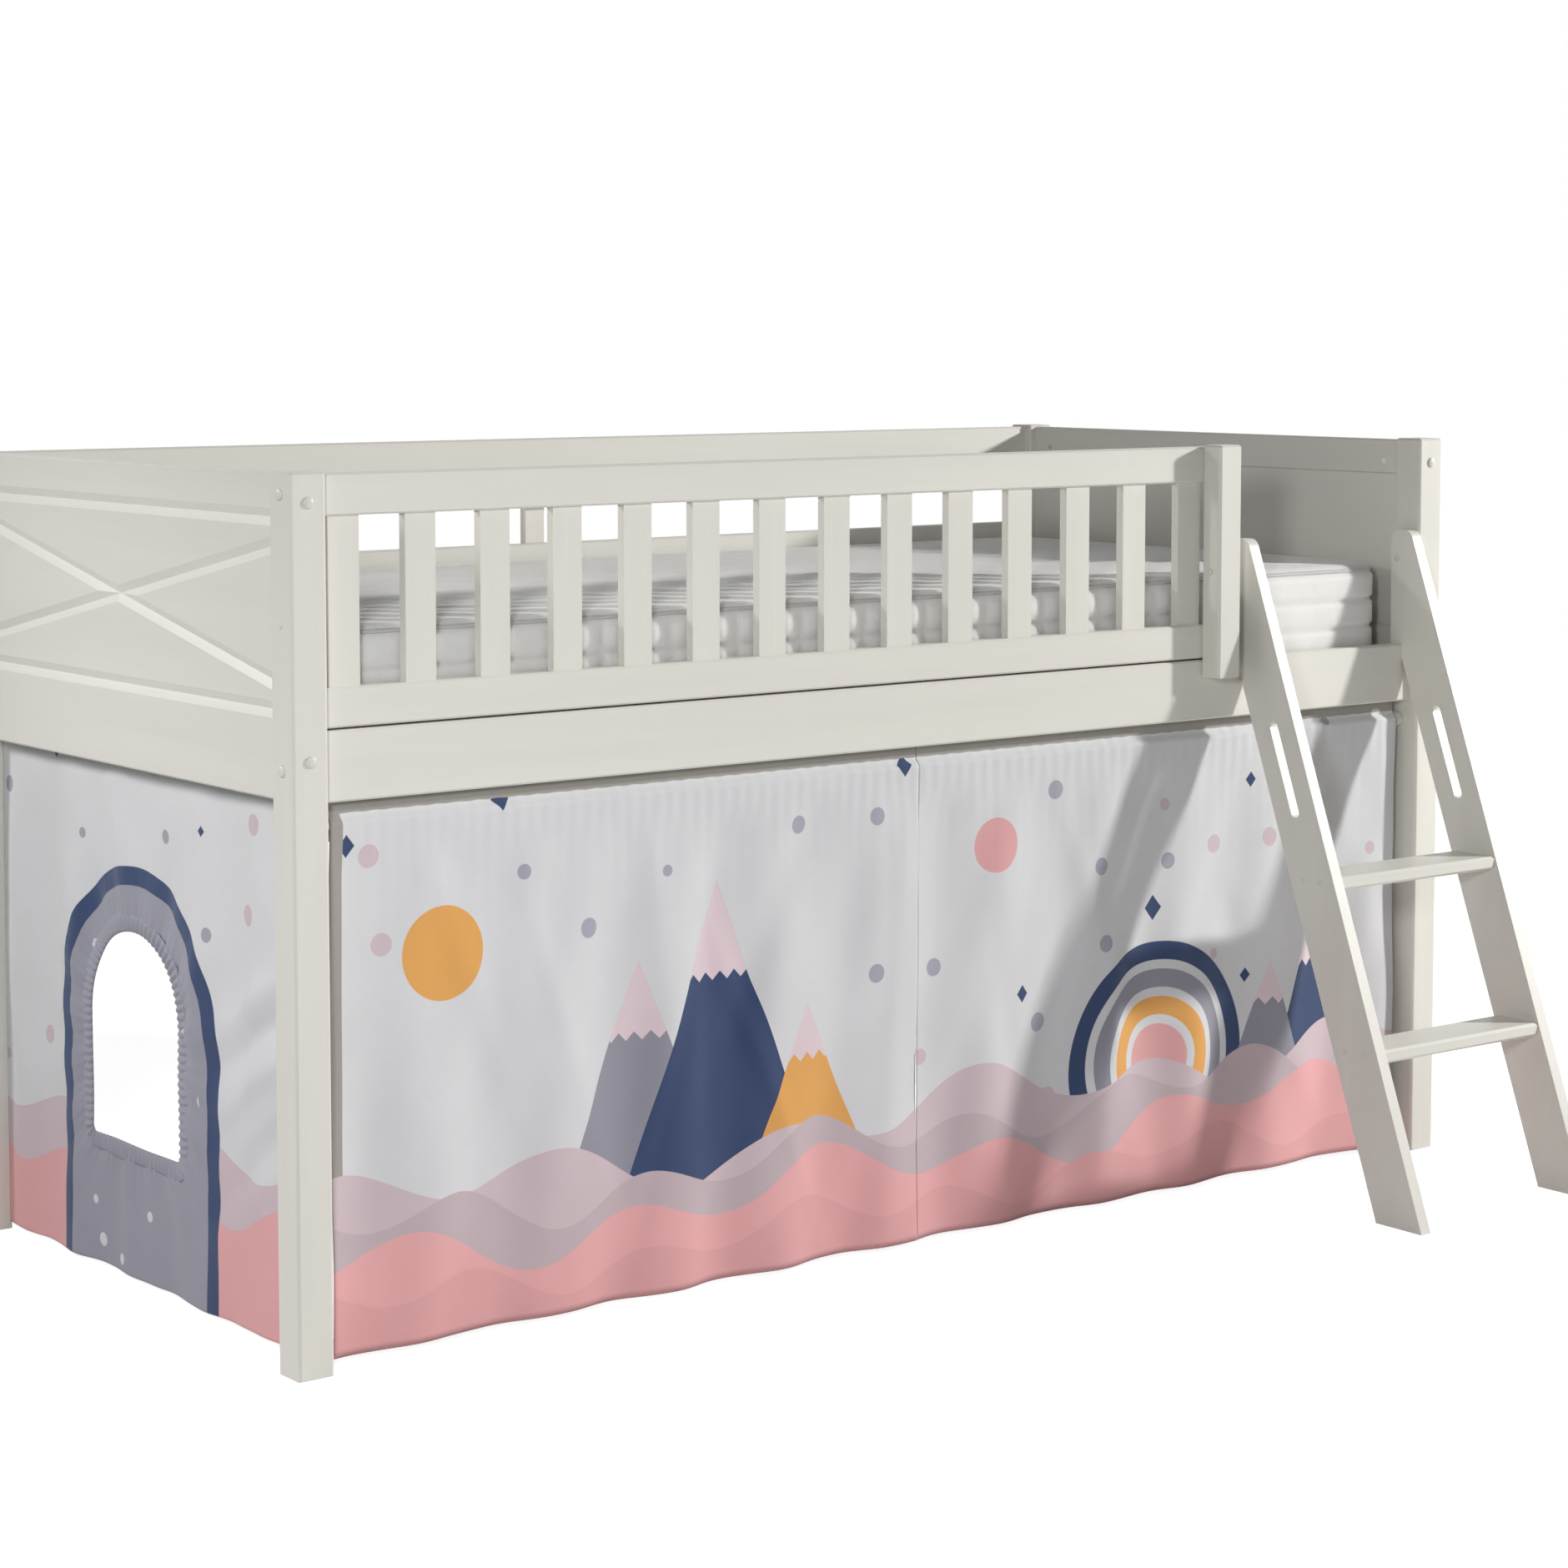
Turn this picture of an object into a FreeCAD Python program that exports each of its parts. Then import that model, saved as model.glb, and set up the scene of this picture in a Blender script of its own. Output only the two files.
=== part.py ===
import FreeCAD, Part
import math
import os

# Mid sleeper bed. Millimetres. Bed axes while building: X along the bed from the left end,
# Y from the front of the front posts to the rear, Z up from the floor.

os.makedirs("parts", exist_ok=True)

# Overall sizes
bed_length = 2086.0
bed_width = 975.0
bed_height = 1140.0

# Posts and boards
post_side = 52.0
post_edge = 5.0
board = 24.0
board_edge = 2.5
top_drop = 3.0

# Front side rail and guard
deck_drop = 415.0
rail_height = 90.5
guard_gap = 3.0
guard_low_height = 51.0
guard_top_height = 53.0
guard_slat_count = 14
guard_slat_width = 45.0
guard_slat_thick = 14.0
guard_slat_margin = 12.0
mortise_depth = 8.0
end_post_width = 47.0
end_post_depth = 38.0
end_post_lap = 25.0

# Bed ends
end_rise = 2.0
end_low_height = 114.0
end_top_height = 55.0
groove_width = 22.0
groove_depth = 5.0
cross_rise = 178.0
tongue_thick = 8.0
tongue_height = 10.0

# Rear boards
rear_top_height = 107.0
rear_gap_share = 0.289
rear_mid_share = 0.4662
upright_width = 40.0
upright_thick = 14.0
upright_x = 1000.0
upright_end_gap = 8.0

# Base and mattress
ledger = 25.0
ledger_drop = 45.5
ledger_inset = 30.0
slat_count = 16
slat_width = 70.0
slat_thick = 18.0
slat_end_gap = 3.0
slat_first = 22.0
strap_width = 20.0
strap_thick = 1.5
strap_inset = 12.0
mattress_end_gap = 25.0
mattress_side_gap = 5.5
mattress_edge_height = 155.0
mattress_crown = 9.0
mattress_corner = 80.0
mattress_waist = 5.0

# Ladder
stile_thick = 20.0
stile_width = 84.0
stile_round_share = 0.42
ladder_width = 381.0
ladder_gap = 1.0
ladder_post_gap = 34.0
ladder_reach = 294.0
ladder_rise = 180.5
notch_face = 20.0
slot_length = 150.0
slot_width = 16.0
slot_share = 0.82087
tread_shares = (0.3193, 0.62854)
tread_thick = 20.0
tread_edge = 4.0

# Bolts, nuts, dowels, screws and caps
bolt_radius = 3.0
bolt_head_radius = 6.0
bolt_head_height = 4.5
bolt_reach = 46.0
bore_radius = 3.3
bore_spare = 2.0
counterbore_radius = 6.5
counterbore_depth = 6.0
nut_radius = 5.0
nut_length = 18.0
nut_inset = 38.0
nut_play = 0.1
nut_recess = 0.2
cap_radius = 8.0
cap_flat_radius = 4.5
cap_height = 3.5
dowel_radius = 4.0
dowel_half = 14.0
dowel_play = 0.05
dowel_spare = 0.5
screw_radius = 2.0
screw_head_radius = 4.0
screw_head_height = 2.5
screw_bite = 14.0
ledger_screw_count = 5
tread_screw_shares = (0.3, 0.68)
tread_cap_radius = 4.5
plug_radius = 4.5
plug_height = 1.5
plug_share = 0.4184
ladder_plug_drop = 46.0
hidden_sides = 6
cap_sides = 12

# How far joints lie from the middle or the edge of the board they hold
rail_bolt_low = 2.0
guard_bolt_rise = 1.5
end_top_bolt_low = 7.5
end_low_bolt_low = 4.0
rail_dowel_depth = 24.0
guard_dowel_rise = 12.5
rear_top_dowel_rise = 26.0
rear_mid_dowel_share = 0.24
end_top_dowel_depth = 11.0
end_low_dowel_depth = 26.0

# Curtains
cloth = 2.0
hem_height = 11.0
fold_depth = 6.5
fold_count = 5
rod_radius = 6.0
rod_y = 36.0
rod_drop = 31.0
rod_clear = 0.3
sleeve_wall = 2.0
socket_radius = 11.0
socket_bore = 6.6
socket_flange = 3.0
socket_cup = 14.0
curtain_side_gap = 33.0
curtain_split = 1030.0
split_gap = 4.0
tape_height = 30.0
tape_thick = 2.5
tape_rise = 21.0
curtain_rise = 54.0
end_curtain_gap = 10.0
window_width = 266.0
window_height = 306.0
window_bottom = 192.0
window_y = 524.0

# Values that follow from the sizes above
set_back = (post_side - board) / 2
rail_bottom = bed_height - deck_drop
rail_top = rail_bottom + rail_height
board_top = bed_height - top_drop
inner_front = set_back + board
inner_rear = bed_width - inner_front
inner_left = inner_front
inner_right = bed_length - inner_left
post_right = bed_length - post_side
post_rear = bed_width - post_side
post_middle = post_side / 2
guard_low_bottom = rail_top + guard_gap
guard_low_top = guard_low_bottom + guard_low_height
guard_top_bottom = board_top - guard_top_height
ladder_right = post_right - ladder_gap
ladder_left = ladder_right - ladder_width
end_post_right = ladder_left - ladder_post_gap
end_post_left = end_post_right - end_post_width
end_post_front = set_back - end_post_depth
end_bottom = rail_bottom + end_rise
end_low_top = end_bottom + end_low_height
end_top_bottom = board_top - end_top_height
rear_top_bottom = board_top - rear_top_height
rear_free = rear_top_bottom - rail_top
rear_mid_top = rear_top_bottom - rear_free * rear_gap_share
rear_mid_bottom = rear_mid_top - rear_free * rear_mid_share
slat_bottom = rail_top - ledger_drop
slat_top = slat_bottom + slat_thick
notch_low = rail_top - notch_face
ladder_top = rail_top + ladder_rise
slot_height = notch_low * slot_share
lean = ladder_reach / notch_low
foot_depth = stile_width * math.sqrt(1 + lean * lean)
foot_back = set_back - ladder_reach
foot_front = foot_back - foot_depth
plug_z = rail_top + (board_top - rail_top) * plug_share
rod_z = rail_bottom - rod_drop
sleeve_inner = rod_radius + rod_clear
sleeve_outer = sleeve_inner + sleeve_wall
front_curtain_left = post_side + curtain_side_gap
front_curtain_right = post_right - curtain_side_gap
tape_bottom = end_bottom + tape_rise
end_curtain_top = end_bottom + curtain_rise
middle_x = bed_length / 2
middle_y = (bed_width + cap_height + foot_front) / 2

X = FreeCAD.Vector(1, 0, 0)
Y = FreeCAD.Vector(0, 1, 0)
Z = FreeCAD.Vector(0, 0, 1)


def point(x, y, z):
    return FreeCAD.Vector(x, y, z)


def save(name, shapes):
    """Moves the solids to the part's own frame, floor centre of its box, and writes one node."""
    node = Part.makeCompound(shapes) if len(shapes) > 1 else shapes[0].copy()
    node.translate(point(-middle_x, -middle_y, 0))
    node.exportStep("parts/" + name + ".step")


def block(low, high):
    """A plain box between two corners."""
    size = high - low
    return Part.makeBox(size.x, size.y, size.z, low)


def rod(start, direction, radius, length):
    return Part.makeCylinder(radius, length, start, direction)


def polygon_face(corners):
    return Part.Face(Part.makePolygon(corners + corners[:1]))


def ring(centre, direction, radius, sides):
    """Corners of a regular polygon square to direction X or Y."""
    across = Y if abs(direction.x) > abs(direction.y) else X
    corners = []
    for i in range(sides):
        turn = 2 * math.pi * (i + 0.5) / sides
        corners.append(centre + across * (radius * math.cos(turn)) + Z * (radius * math.sin(turn)))
    return corners


def peg(start, direction, radius, length, sides=hidden_sides):
    """A straight pin or bore with few flat sides, for hardware that repeats often."""
    return polygon_face(ring(start, direction, radius, sides)).extrude(direction * length)


def taper(start, direction, radius, end_radius, length, sides=hidden_sides):
    """A short pin that narrows along its length, with flat sides."""
    near = ring(start, direction, radius, sides)
    far = ring(start + direction * length, direction, end_radius, sides)
    faces = [polygon_face(near), polygon_face(far)]
    for i in range(sides):
        faces.append(polygon_face([near[i - 1], near[i], far[i], far[i - 1]]))
    solid = Part.makeSolid(Part.makeShell(faces))
    if solid.Volume < 0:
        solid.reverse()
    return solid


def rounded_wire(corners, radii):
    """A closed outline through corners, each corner replaced by a tangent arc of its radius."""
    count = len(corners)
    edges = []
    stops = []
    for i in range(count):
        here = corners[i]
        back = (corners[i - 1] - here).normalize()
        ahead = (corners[(i + 1) % count] - here).normalize()
        if radii[i] <= 0:
            stops.append((here, here))
            continue
        half = back.getAngle(ahead) / 2
        reach = radii[i] / math.tan(half)
        bisector = (back + ahead).normalize()
        centre = here + bisector * (radii[i] / math.sin(half))
        start = here + back * reach
        end = here + ahead * reach
        stops.append((start, end))
        edges.append((i, Part.Arc(start, centre - bisector * radii[i], end).toShape()))
    arcs = dict(edges)
    loop = []
    for i in range(count):
        if i in arcs:
            loop.append(arcs[i])
        leave = stops[i][1]
        arrive = stops[(i + 1) % count][0]
        if leave.distanceToPoint(arrive) > 1e-6:
            loop.append(Part.LineSegment(leave, arrive).toShape())
    return Part.Wire(loop)


def eased_face(corners, size):
    """A flat outline with each corner cut off at size."""
    cut = []
    for i in range(len(corners)):
        here = corners[i]
        back = (corners[i - 1] - here).normalize()
        ahead = (corners[(i + 1) % len(corners)] - here).normalize()
        cut.append(here + back * size)
        cut.append(here + ahead * size)
    return polygon_face(cut)


def bar(low, high, axis, edge):
    """A straight board along X, Y or Z whose four long edges are eased."""
    run = {"x": X * (high.x - low.x), "y": Y * (high.y - low.y), "z": Z * (high.z - low.z)}[axis]
    far = high - run
    if axis == "x":
        corners = [low, point(low.x, far.y, low.z), far, point(low.x, low.y, far.z)]
    elif axis == "y":
        corners = [low, point(low.x, low.y, far.z), far, point(far.x, low.y, low.z)]
    else:
        corners = [low, point(far.x, low.y, low.z), far, point(low.x, far.y, low.z)]
    return eased_face(corners, edge).extrude(run)


def soften_top(solid, size):
    """Takes the sharp edge off a solid's highest flat face."""
    highest = max(solid.Faces, key=lambda face: face.CenterOfMass.z)
    return solid.makeChamfer(size, highest.Edges)


# Where each board end meets a post, for the bolts and dowels: the joint point on the post's
# inner face, the way into the post, and for a bolt the board's inward side.
rail_bolt_z = (rail_bottom + rail_top) / 2 - rail_bolt_low
guard_bolt_z = (guard_top_bottom + board_top) / 2 + guard_bolt_rise
rear_top_bolt_z = (rear_top_bottom + board_top) / 2
rear_mid_bolt_z = (rear_mid_bottom + rear_mid_top) / 2
end_top_bolt_z = (end_top_bottom + board_top) / 2 - end_top_bolt_low
end_low_bolt_z = (end_bottom + end_low_top) / 2 - end_low_bolt_low
front_y = post_middle
rear_y = bed_width - post_middle
left_x = post_middle
right_x = bed_length - post_middle

bolt_places = [
    (point(post_side, front_y, rail_bolt_z), -X, Y),
    (point(post_side, front_y, guard_bolt_z), -X, Y),
    (point(post_right, front_y, rail_bolt_z), X, Y),
]
for rear_z in (rail_bolt_z, rear_mid_bolt_z, rear_top_bolt_z):
    bolt_places.append((point(post_side, rear_y, rear_z), -X, -Y))
    bolt_places.append((point(post_right, rear_y, rear_z), X, -Y))
for end_x, inward in ((left_x, X), (right_x, -X)):
    for end_z in (end_low_bolt_z, end_top_bolt_z):
        bolt_places.append((point(end_x, post_side, end_z), -Y, inward))
        bolt_places.append((point(end_x, post_rear, end_z), Y, inward))

rail_dowel_z = rail_top - rail_dowel_depth
guard_dowel_z = guard_top_bottom + guard_dowel_rise
guard_low_dowel_z = guard_low_bottom + guard_low_height / 2
rear_top_dowel_z = rear_top_bottom + rear_top_dowel_rise
rear_mid_dowel_z = rear_mid_bottom + (rear_mid_top - rear_mid_bottom) * rear_mid_dowel_share
end_top_dowel_z = board_top - end_top_dowel_depth
end_low_dowel_z = end_low_top - end_low_dowel_depth

dowel_places = [
    (point(post_side, front_y, rail_dowel_z), -X),
    (point(post_side, front_y, guard_low_dowel_z), -X),
    (point(post_side, front_y, guard_dowel_z), -X),
    (point(post_right, front_y, rail_dowel_z), X),
]
for rear_z in (rail_dowel_z, rear_mid_dowel_z, rear_top_dowel_z):
    dowel_places.append((point(post_side, rear_y, rear_z), -X))
    dowel_places.append((point(post_right, rear_y, rear_z), X))
for end_x in (left_x, right_x):
    for end_z in (end_low_dowel_z, end_top_dowel_z):
        dowel_places.append((point(end_x, post_side, end_z), -Y))
        dowel_places.append((point(end_x, post_rear, end_z), Y))


def bolt_bores():
    """Clearance holes for bolts through post and board, their counterbores, and the barrel nut holes."""
    cuts = []
    for place, outward, inward in bolt_places:
        head = place + outward * post_side
        cuts.append(peg(head, -outward, counterbore_radius, counterbore_depth))
        cuts.append(peg(head, -outward, bore_radius, post_side + bolt_reach + bore_spare))
        nut_end = place - outward * nut_inset + inward * (board / 2)
        cuts.append(peg(nut_end, -inward, nut_radius + nut_play, nut_length + 2 * nut_recess))
    return cuts


def dowel_bores():
    cuts = []
    for place, outward in dowel_places:
        start = place + outward * (dowel_half + dowel_spare)
        cuts.append(peg(start, -outward, dowel_radius + dowel_play, 2 * (dowel_half + dowel_spare)))
    return cuts


bores = bolt_bores() + dowel_bores()


def drilled(solid):
    """Cuts the joint holes that reach a solid."""
    box = solid.BoundBox
    near = [bore for bore in bores if box.intersect(bore.BoundBox)]
    return solid.cut(near) if near else solid


# Posts
for side, x in (("left", 0.0), ("right", post_right)):
    for row, y in (("front", 0.0), ("rear", post_rear)):
        foot = [
            point(x, y, 0),
            point(x + post_side, y, 0),
            point(x + post_side, y + post_side, 0),
            point(x, y + post_side, 0),
        ]
        post = Part.Face(rounded_wire(foot, [post_edge] * 4)).extrude(Z * bed_height)
        save("post_" + row + "_" + side, [drilled(soften_top(post, top_drop))])


# Bed ends
def groove(start, end, face_x, inward):
    """A V groove routed into an end board's outer face, running past both ends."""
    along = (end - start).normalize()
    across = along.cross(inward).normalize() * (groove_width / 2)
    middle = point(face_x, start.y, start.z) - along * groove_width
    corners = [middle + across, middle + inward * groove_depth, middle - across]
    length = (end - start).Length + 2 * groove_width
    return polygon_face(corners).extrude(along * length)


def bed_end(side, outer_x, inward):
    """One end: rails above and below a panel, joined by tongues, grooved on the outside."""
    inner_x = outer_x + inward.x * board
    low_x = min(outer_x, inner_x)
    high_x = max(outer_x, inner_x)
    tongue_low = low_x + (board - tongue_thick) / 2
    tongue_high = tongue_low + tongue_thick
    top = bar(point(low_x, post_side, end_top_bottom), point(high_x, post_rear, board_top), "y", board_edge)
    low = bar(point(low_x, post_side, end_bottom), point(high_x, post_rear, end_low_top), "y", board_edge)
    panel = block(point(low_x, post_side, end_low_top), point(high_x, post_rear, end_top_bottom))
    tongue = block(
        point(tongue_low, post_side, end_low_top - tongue_height),
        point(tongue_high, post_rear, end_top_bottom + tongue_height),
    )
    upper = point(outer_x, post_side, end_top_bottom)
    lower = point(outer_x, post_side, end_low_top)
    cross_z = (end_top_bottom + end_low_top) / 2
    cross_low = cross_z - cross_rise / 2
    cross_high = cross_z + cross_rise / 2
    run = Y * (post_rear - post_side)
    level = [groove(upper, upper + run, outer_x, inward), groove(lower, lower + run, outer_x, inward)]
    crossing = []
    for near_z, far_z in ((cross_low, cross_high), (cross_high, cross_low)):
        near = point(outer_x, post_side, near_z)
        crossing.append(groove(near, point(outer_x, post_rear, far_z), outer_x, inward))
    panel = panel.fuse(tongue).removeSplitter().cut(level + crossing)
    save("end_top_rail_" + side, [drilled(top.cut([tongue] + level))])
    save("end_panel_" + side, [panel])
    save("end_bottom_rail_" + side, [drilled(low.cut([tongue] + level))])


bed_end("left", set_back, X)
bed_end("right", bed_length - set_back, -X)


# Rails and boards along the bed
def long_board(right, front, bottom, top):
    """A board along the bed from the left post."""
    return bar(point(post_side, front, bottom), point(right, front + board, top), "x", board_edge)


for name, front, bottom, top in (
    ("side_rail_front", set_back, rail_bottom, rail_top),
    ("side_rail_rear", inner_rear, rail_bottom, rail_top),
    ("rear_middle_board", inner_rear, rear_mid_bottom, rear_mid_top),
    ("rear_top_board", inner_rear, rear_top_bottom, board_top),
):
    save(name, [drilled(long_board(post_right, front, bottom, top))])

# Rear upright, screwed to the outside of the rear boards
upright = bar(
    point(upright_x - upright_width / 2, inner_rear + board, rail_bottom + upright_end_gap),
    point(upright_x + upright_width / 2, inner_rear + board + upright_thick, board_top - upright_end_gap),
    "z",
    board_edge,
)


def screw(place, inward, length):
    """A countersunk screw: a head sunk flush at place and a shank along inward."""
    head = taper(place, inward, screw_head_radius, screw_radius, screw_head_height)
    shank = peg(place + inward * screw_head_height, inward, screw_radius, length - screw_head_height)
    return head.fuse(shank).removeSplitter()


upright_screws = []
for board_z in (rail_bolt_z, rear_mid_bolt_z, rear_top_bolt_z):
    place = point(upright_x, inner_rear + board + upright_thick, board_z)
    upright_screws.append(screw(place, -Y, upright_thick + screw_bite))

save("rear_upright", [upright.cut(upright_screws)])
save("rear_upright_screws", upright_screws)

# Guard: two rails, upright slats mortised between them, and an end post in front of the rails
guard_top = long_board(end_post_right, set_back, guard_top_bottom, board_top)
guard_low = long_board(end_post_right, set_back, guard_low_bottom, guard_low_top)
slat_front = set_back + (board - guard_slat_thick) / 2
slat_start = post_side + guard_slat_margin
slat_run = end_post_left - slat_start - guard_slat_width
guard_slats = []
for i in range(guard_slat_count):
    x = slat_start + slat_run * i / (guard_slat_count - 1)
    guard_slats.append(
        block(
            point(x, slat_front, guard_low_top - mortise_depth),
            point(x + guard_slat_width, slat_front + guard_slat_thick, guard_top_bottom + mortise_depth),
        )
    )

end_post = bar(
    point(end_post_left, end_post_front, rail_top - end_post_lap),
    point(end_post_right, set_back, bed_height),
    "z",
    tread_edge,
)
end_post = soften_top(end_post, top_drop)
guard_screws = []
end_post_x = (end_post_left + end_post_right) / 2
for screw_z, shift in (
    (rail_top - end_post_lap / 2, 0.0),
    (guard_low_bottom + guard_low_height / 2, -end_post_width / 4),
    (guard_low_bottom + guard_low_height / 2, end_post_width / 4),
    (guard_top_bottom + guard_top_height / 2, -end_post_width / 4),
    (guard_top_bottom + guard_top_height / 2, end_post_width / 4),
):
    place = point(end_post_x + shift, inner_front, screw_z)
    guard_screws.append(screw(place, -Y, board + screw_bite))

save("guard_top_rail", [drilled(guard_top.cut(guard_slats + guard_screws))])
save("guard_bottom_rail", [drilled(guard_low.cut(guard_slats + guard_screws))])
save("guard_slats", guard_slats)
save("guard_end_post", [end_post.cut(guard_screws)])
save("guard_post_screws", guard_screws)

# Base: ledgers on the side rails, loose slats on the ledgers, webbing under the slats
ledger_left = post_side + ledger_inset
ledger_right = post_right - ledger_inset
ledger_screws = []
for row, y, inward in (("front", inner_front, Y), ("rear", inner_rear, -Y)):
    low_y = y if inward.y > 0 else y - ledger
    strip = block(
        point(ledger_left, low_y, slat_bottom - ledger),
        point(ledger_right, low_y + ledger, slat_bottom),
    )
    screws = []
    for i in range(ledger_screw_count):
        x = ledger_left + (ledger_right - ledger_left) * (i + 0.5) / ledger_screw_count
        place = point(x, y + inward.y * ledger, slat_bottom - ledger / 2)
        screws.append(screw(place, -inward, ledger + screw_bite))
    save("ledger_" + row, [strip.cut(screws)])
    ledger_screws += screws
save("ledger_screws", ledger_screws)

slat_left = inner_left + slat_first
slat_span = inner_right - slat_first - slat_width - slat_left
base_slats = []
for i in range(slat_count):
    x = slat_left + slat_span * i / (slat_count - 1)
    base_slats.append(
        block(
            point(x, inner_front + slat_end_gap, slat_bottom),
            point(x + slat_width, inner_rear - slat_end_gap, slat_top),
        )
    )
save("base_slats", base_slats)

straps = []
for y in (inner_front + ledger + strap_inset, inner_rear - ledger - strap_inset - strap_width):
    straps.append(
        block(
            point(slat_left, y, slat_bottom - strap_thick),
            point(inner_right - slat_first, y + strap_width, slat_bottom),
        )
    )
save("slat_webbing", straps)


# Mattress: round corners, a waist along its sides and a crowned top
def mattress_outline(inset, z):
    left = inner_left + mattress_end_gap + inset
    front = inner_front + mattress_side_gap + inset
    right = bed_length - left
    rear = bed_width - front
    corners = [
        point(left, front, z),
        point(right, front, z),
        point(right, rear, z),
        point(left, rear, z),
    ]
    return rounded_wire(corners, [mattress_corner] * 4)


# Each section is its inset in waists, and its height as a share of the edge and of the crown
outlines = []
for waists, edge_share, crown_share in (
    (2.0, 0.0, 0.0),
    (0.0, 0.08, 0.0),
    (1.0, 0.5, 0.0),
    (0.0, 0.92, 0.0),
    (2.0, 1.0, 0.0),
    (50.0, 1.0, 1.0),
):
    z = slat_top + edge_share * mattress_edge_height + crown_share * mattress_crown
    outlines.append(mattress_outline(waists * mattress_waist, z))
save("mattress", [Part.makeLoft(outlines, True, True)])


# Ladder
def stile(x):
    """A leaning board with a round top, notched to sit on the side rail, with a long slot."""
    front_top = foot_front + lean * ladder_top
    corners = [
        point(x, foot_front, 0),
        point(x, front_top, ladder_top),
        point(x, inner_front, ladder_top),
        point(x, inner_front, rail_top),
        point(x, set_back, rail_top),
        point(x, set_back, notch_low),
        point(x, foot_back, 0),
    ]
    round_top = (inner_front - front_top) * stile_round_share
    outline = Part.Face(rounded_wire(corners, [0, round_top, round_top, 0, 0, 0, 0]))
    body = outline.extrude(X * stile_thick)
    up = point(0, lean, 1).normalize()
    aside = X.cross(up)
    slot_y = foot_front + foot_depth / 2 + lean * slot_height
    middle = point(x, slot_y, slot_height)
    half = up * ((slot_length - slot_width) / 2)
    wide = aside * (slot_width / 2)
    tip = up * (slot_length / 2)
    slot = Part.Wire(
        [
            Part.LineSegment(middle - half + wide, middle + half + wide).toShape(),
            Part.Arc(middle + half + wide, middle + tip, middle + half - wide).toShape(),
            Part.LineSegment(middle + half - wide, middle - half - wide).toShape(),
            Part.Arc(middle - half - wide, middle - tip, middle - half + wide).toShape(),
        ]
    )
    return body.cut(Part.Face(slot).extrude(X * stile_thick))


stile_left = stile(ladder_left)
stile_right = stile(ladder_right - stile_thick)
tread_screws = []
tread_caps = []
treads = {}
for name, tread_share in zip(("lower", "upper"), tread_shares):
    top_z = notch_low * tread_share
    front = foot_front + lean * top_z
    treads[name] = bar(
        point(ladder_left + stile_thick, front, top_z - tread_thick),
        point(ladder_right - stile_thick, front + foot_depth - lean * tread_thick, top_z),
        "x",
        tread_edge,
    )
    for share in tread_screw_shares:
        y = front + foot_depth * share
        z = top_z - tread_thick / 2
        for x, inward in ((ladder_left, X), (ladder_right, -X)):
            place = point(x, y, z)
            tread_screws.append(screw(place, inward, stile_thick + screw_bite))
            tread_caps.append(peg(place, -inward, tread_cap_radius, plug_height, cap_sides))

save("ladder_stile_left", [stile_left.cut(tread_screws)])
save("ladder_stile_right", [stile_right.cut(tread_screws)])
for name in treads:
    save("ladder_tread_" + name, [treads[name].cut(tread_screws)])
save("ladder_screws", tread_screws)
save("ladder_screw_caps", tread_caps)

# Bolts through the posts, barrel nuts in the boards, caps over the heads
bolts = []
nuts = []
caps = []
for place, outward, inward in bolt_places:
    face = place + outward * post_side
    seat = face - outward * counterbore_depth
    shank = peg(seat, -outward, bolt_radius, post_side - counterbore_depth + bolt_reach)
    bolts.append(peg(seat, outward, bolt_head_radius, bolt_head_height).fuse(shank).removeSplitter())
    nut_start = place - outward * nut_inset + inward * (board / 2 - nut_recess)
    through = peg(place, -outward, bore_radius, bolt_reach + bore_spare)
    nuts.append(peg(nut_start, -inward, nut_radius, nut_length).cut(through))
    caps.append(taper(face, outward, cap_radius, cap_flat_radius, cap_height, cap_sides))
save("post_bolts", bolts)
save("barrel_nuts", nuts)
save("bolt_caps", caps)

dowels = []
for place, outward in dowel_places:
    dowels.append(peg(place + outward * dowel_half, -outward, dowel_radius, 2 * dowel_half))
save("dowels", dowels)

# Small plugs over spare holes
plugs = []
for x, y, z in (
    (0.0, front_y, plug_z),
    (end_post_left, (end_post_front + set_back) / 2, plug_z),
    (ladder_right - stile_thick, (set_back + inner_front) / 2, ladder_top - ladder_plug_drop),
):
    plugs.append(peg(point(x, y, z), -X, plug_radius, plug_height, cap_sides))
save("hole_plugs_frame", plugs[:2])
save("hole_plug_ladder", plugs[2:])

# Curtain rod under the front side rail, held in a socket on each post
rod_left = post_side + socket_flange
rod_right = post_right - socket_flange
save("curtain_rod", [rod(point(rod_left, rod_y, rod_z), X, rod_radius, rod_right - rod_left)])
sockets = []
for x, inward in ((post_side, X), (post_right, -X)):
    base = point(x, rod_y, rod_z)
    cup = peg(base, inward, socket_radius, socket_cup, cap_sides)
    seat = peg(base + inward * socket_flange, inward, socket_bore, socket_cup, cap_sides)
    sockets.append(cup.cut(seat))
save("rod_sockets", sockets)


# Curtains: cloth in even folds that hang straight down
def folded_sheet(start, along, across, length, height):
    """A sheet one cloth thick whose plan is a row of arcs to one side and the other."""
    halves = fold_count * 2
    step = along * (length / halves)
    lift = across * (cloth / 2)
    near = []
    far = []
    for i in range(halves):
        a = start + step * i
        b = start + step * (i + 1)
        top = (a + b) * 0.5 + across * (fold_depth if i % 2 == 0 else -fold_depth)
        near.append(Part.Arc(a - lift, top - lift, b - lift).toShape())
        far.insert(0, Part.Arc(b + lift, top + lift, a + lift).toShape())
    last = start + step * halves
    turn = Part.LineSegment(last - lift, last + lift).toShape()
    close = Part.LineSegment(start + lift, start - lift).toShape()
    return Part.Face(Part.Wire(near + [turn] + far + [close])).extrude(Z * height)


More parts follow.
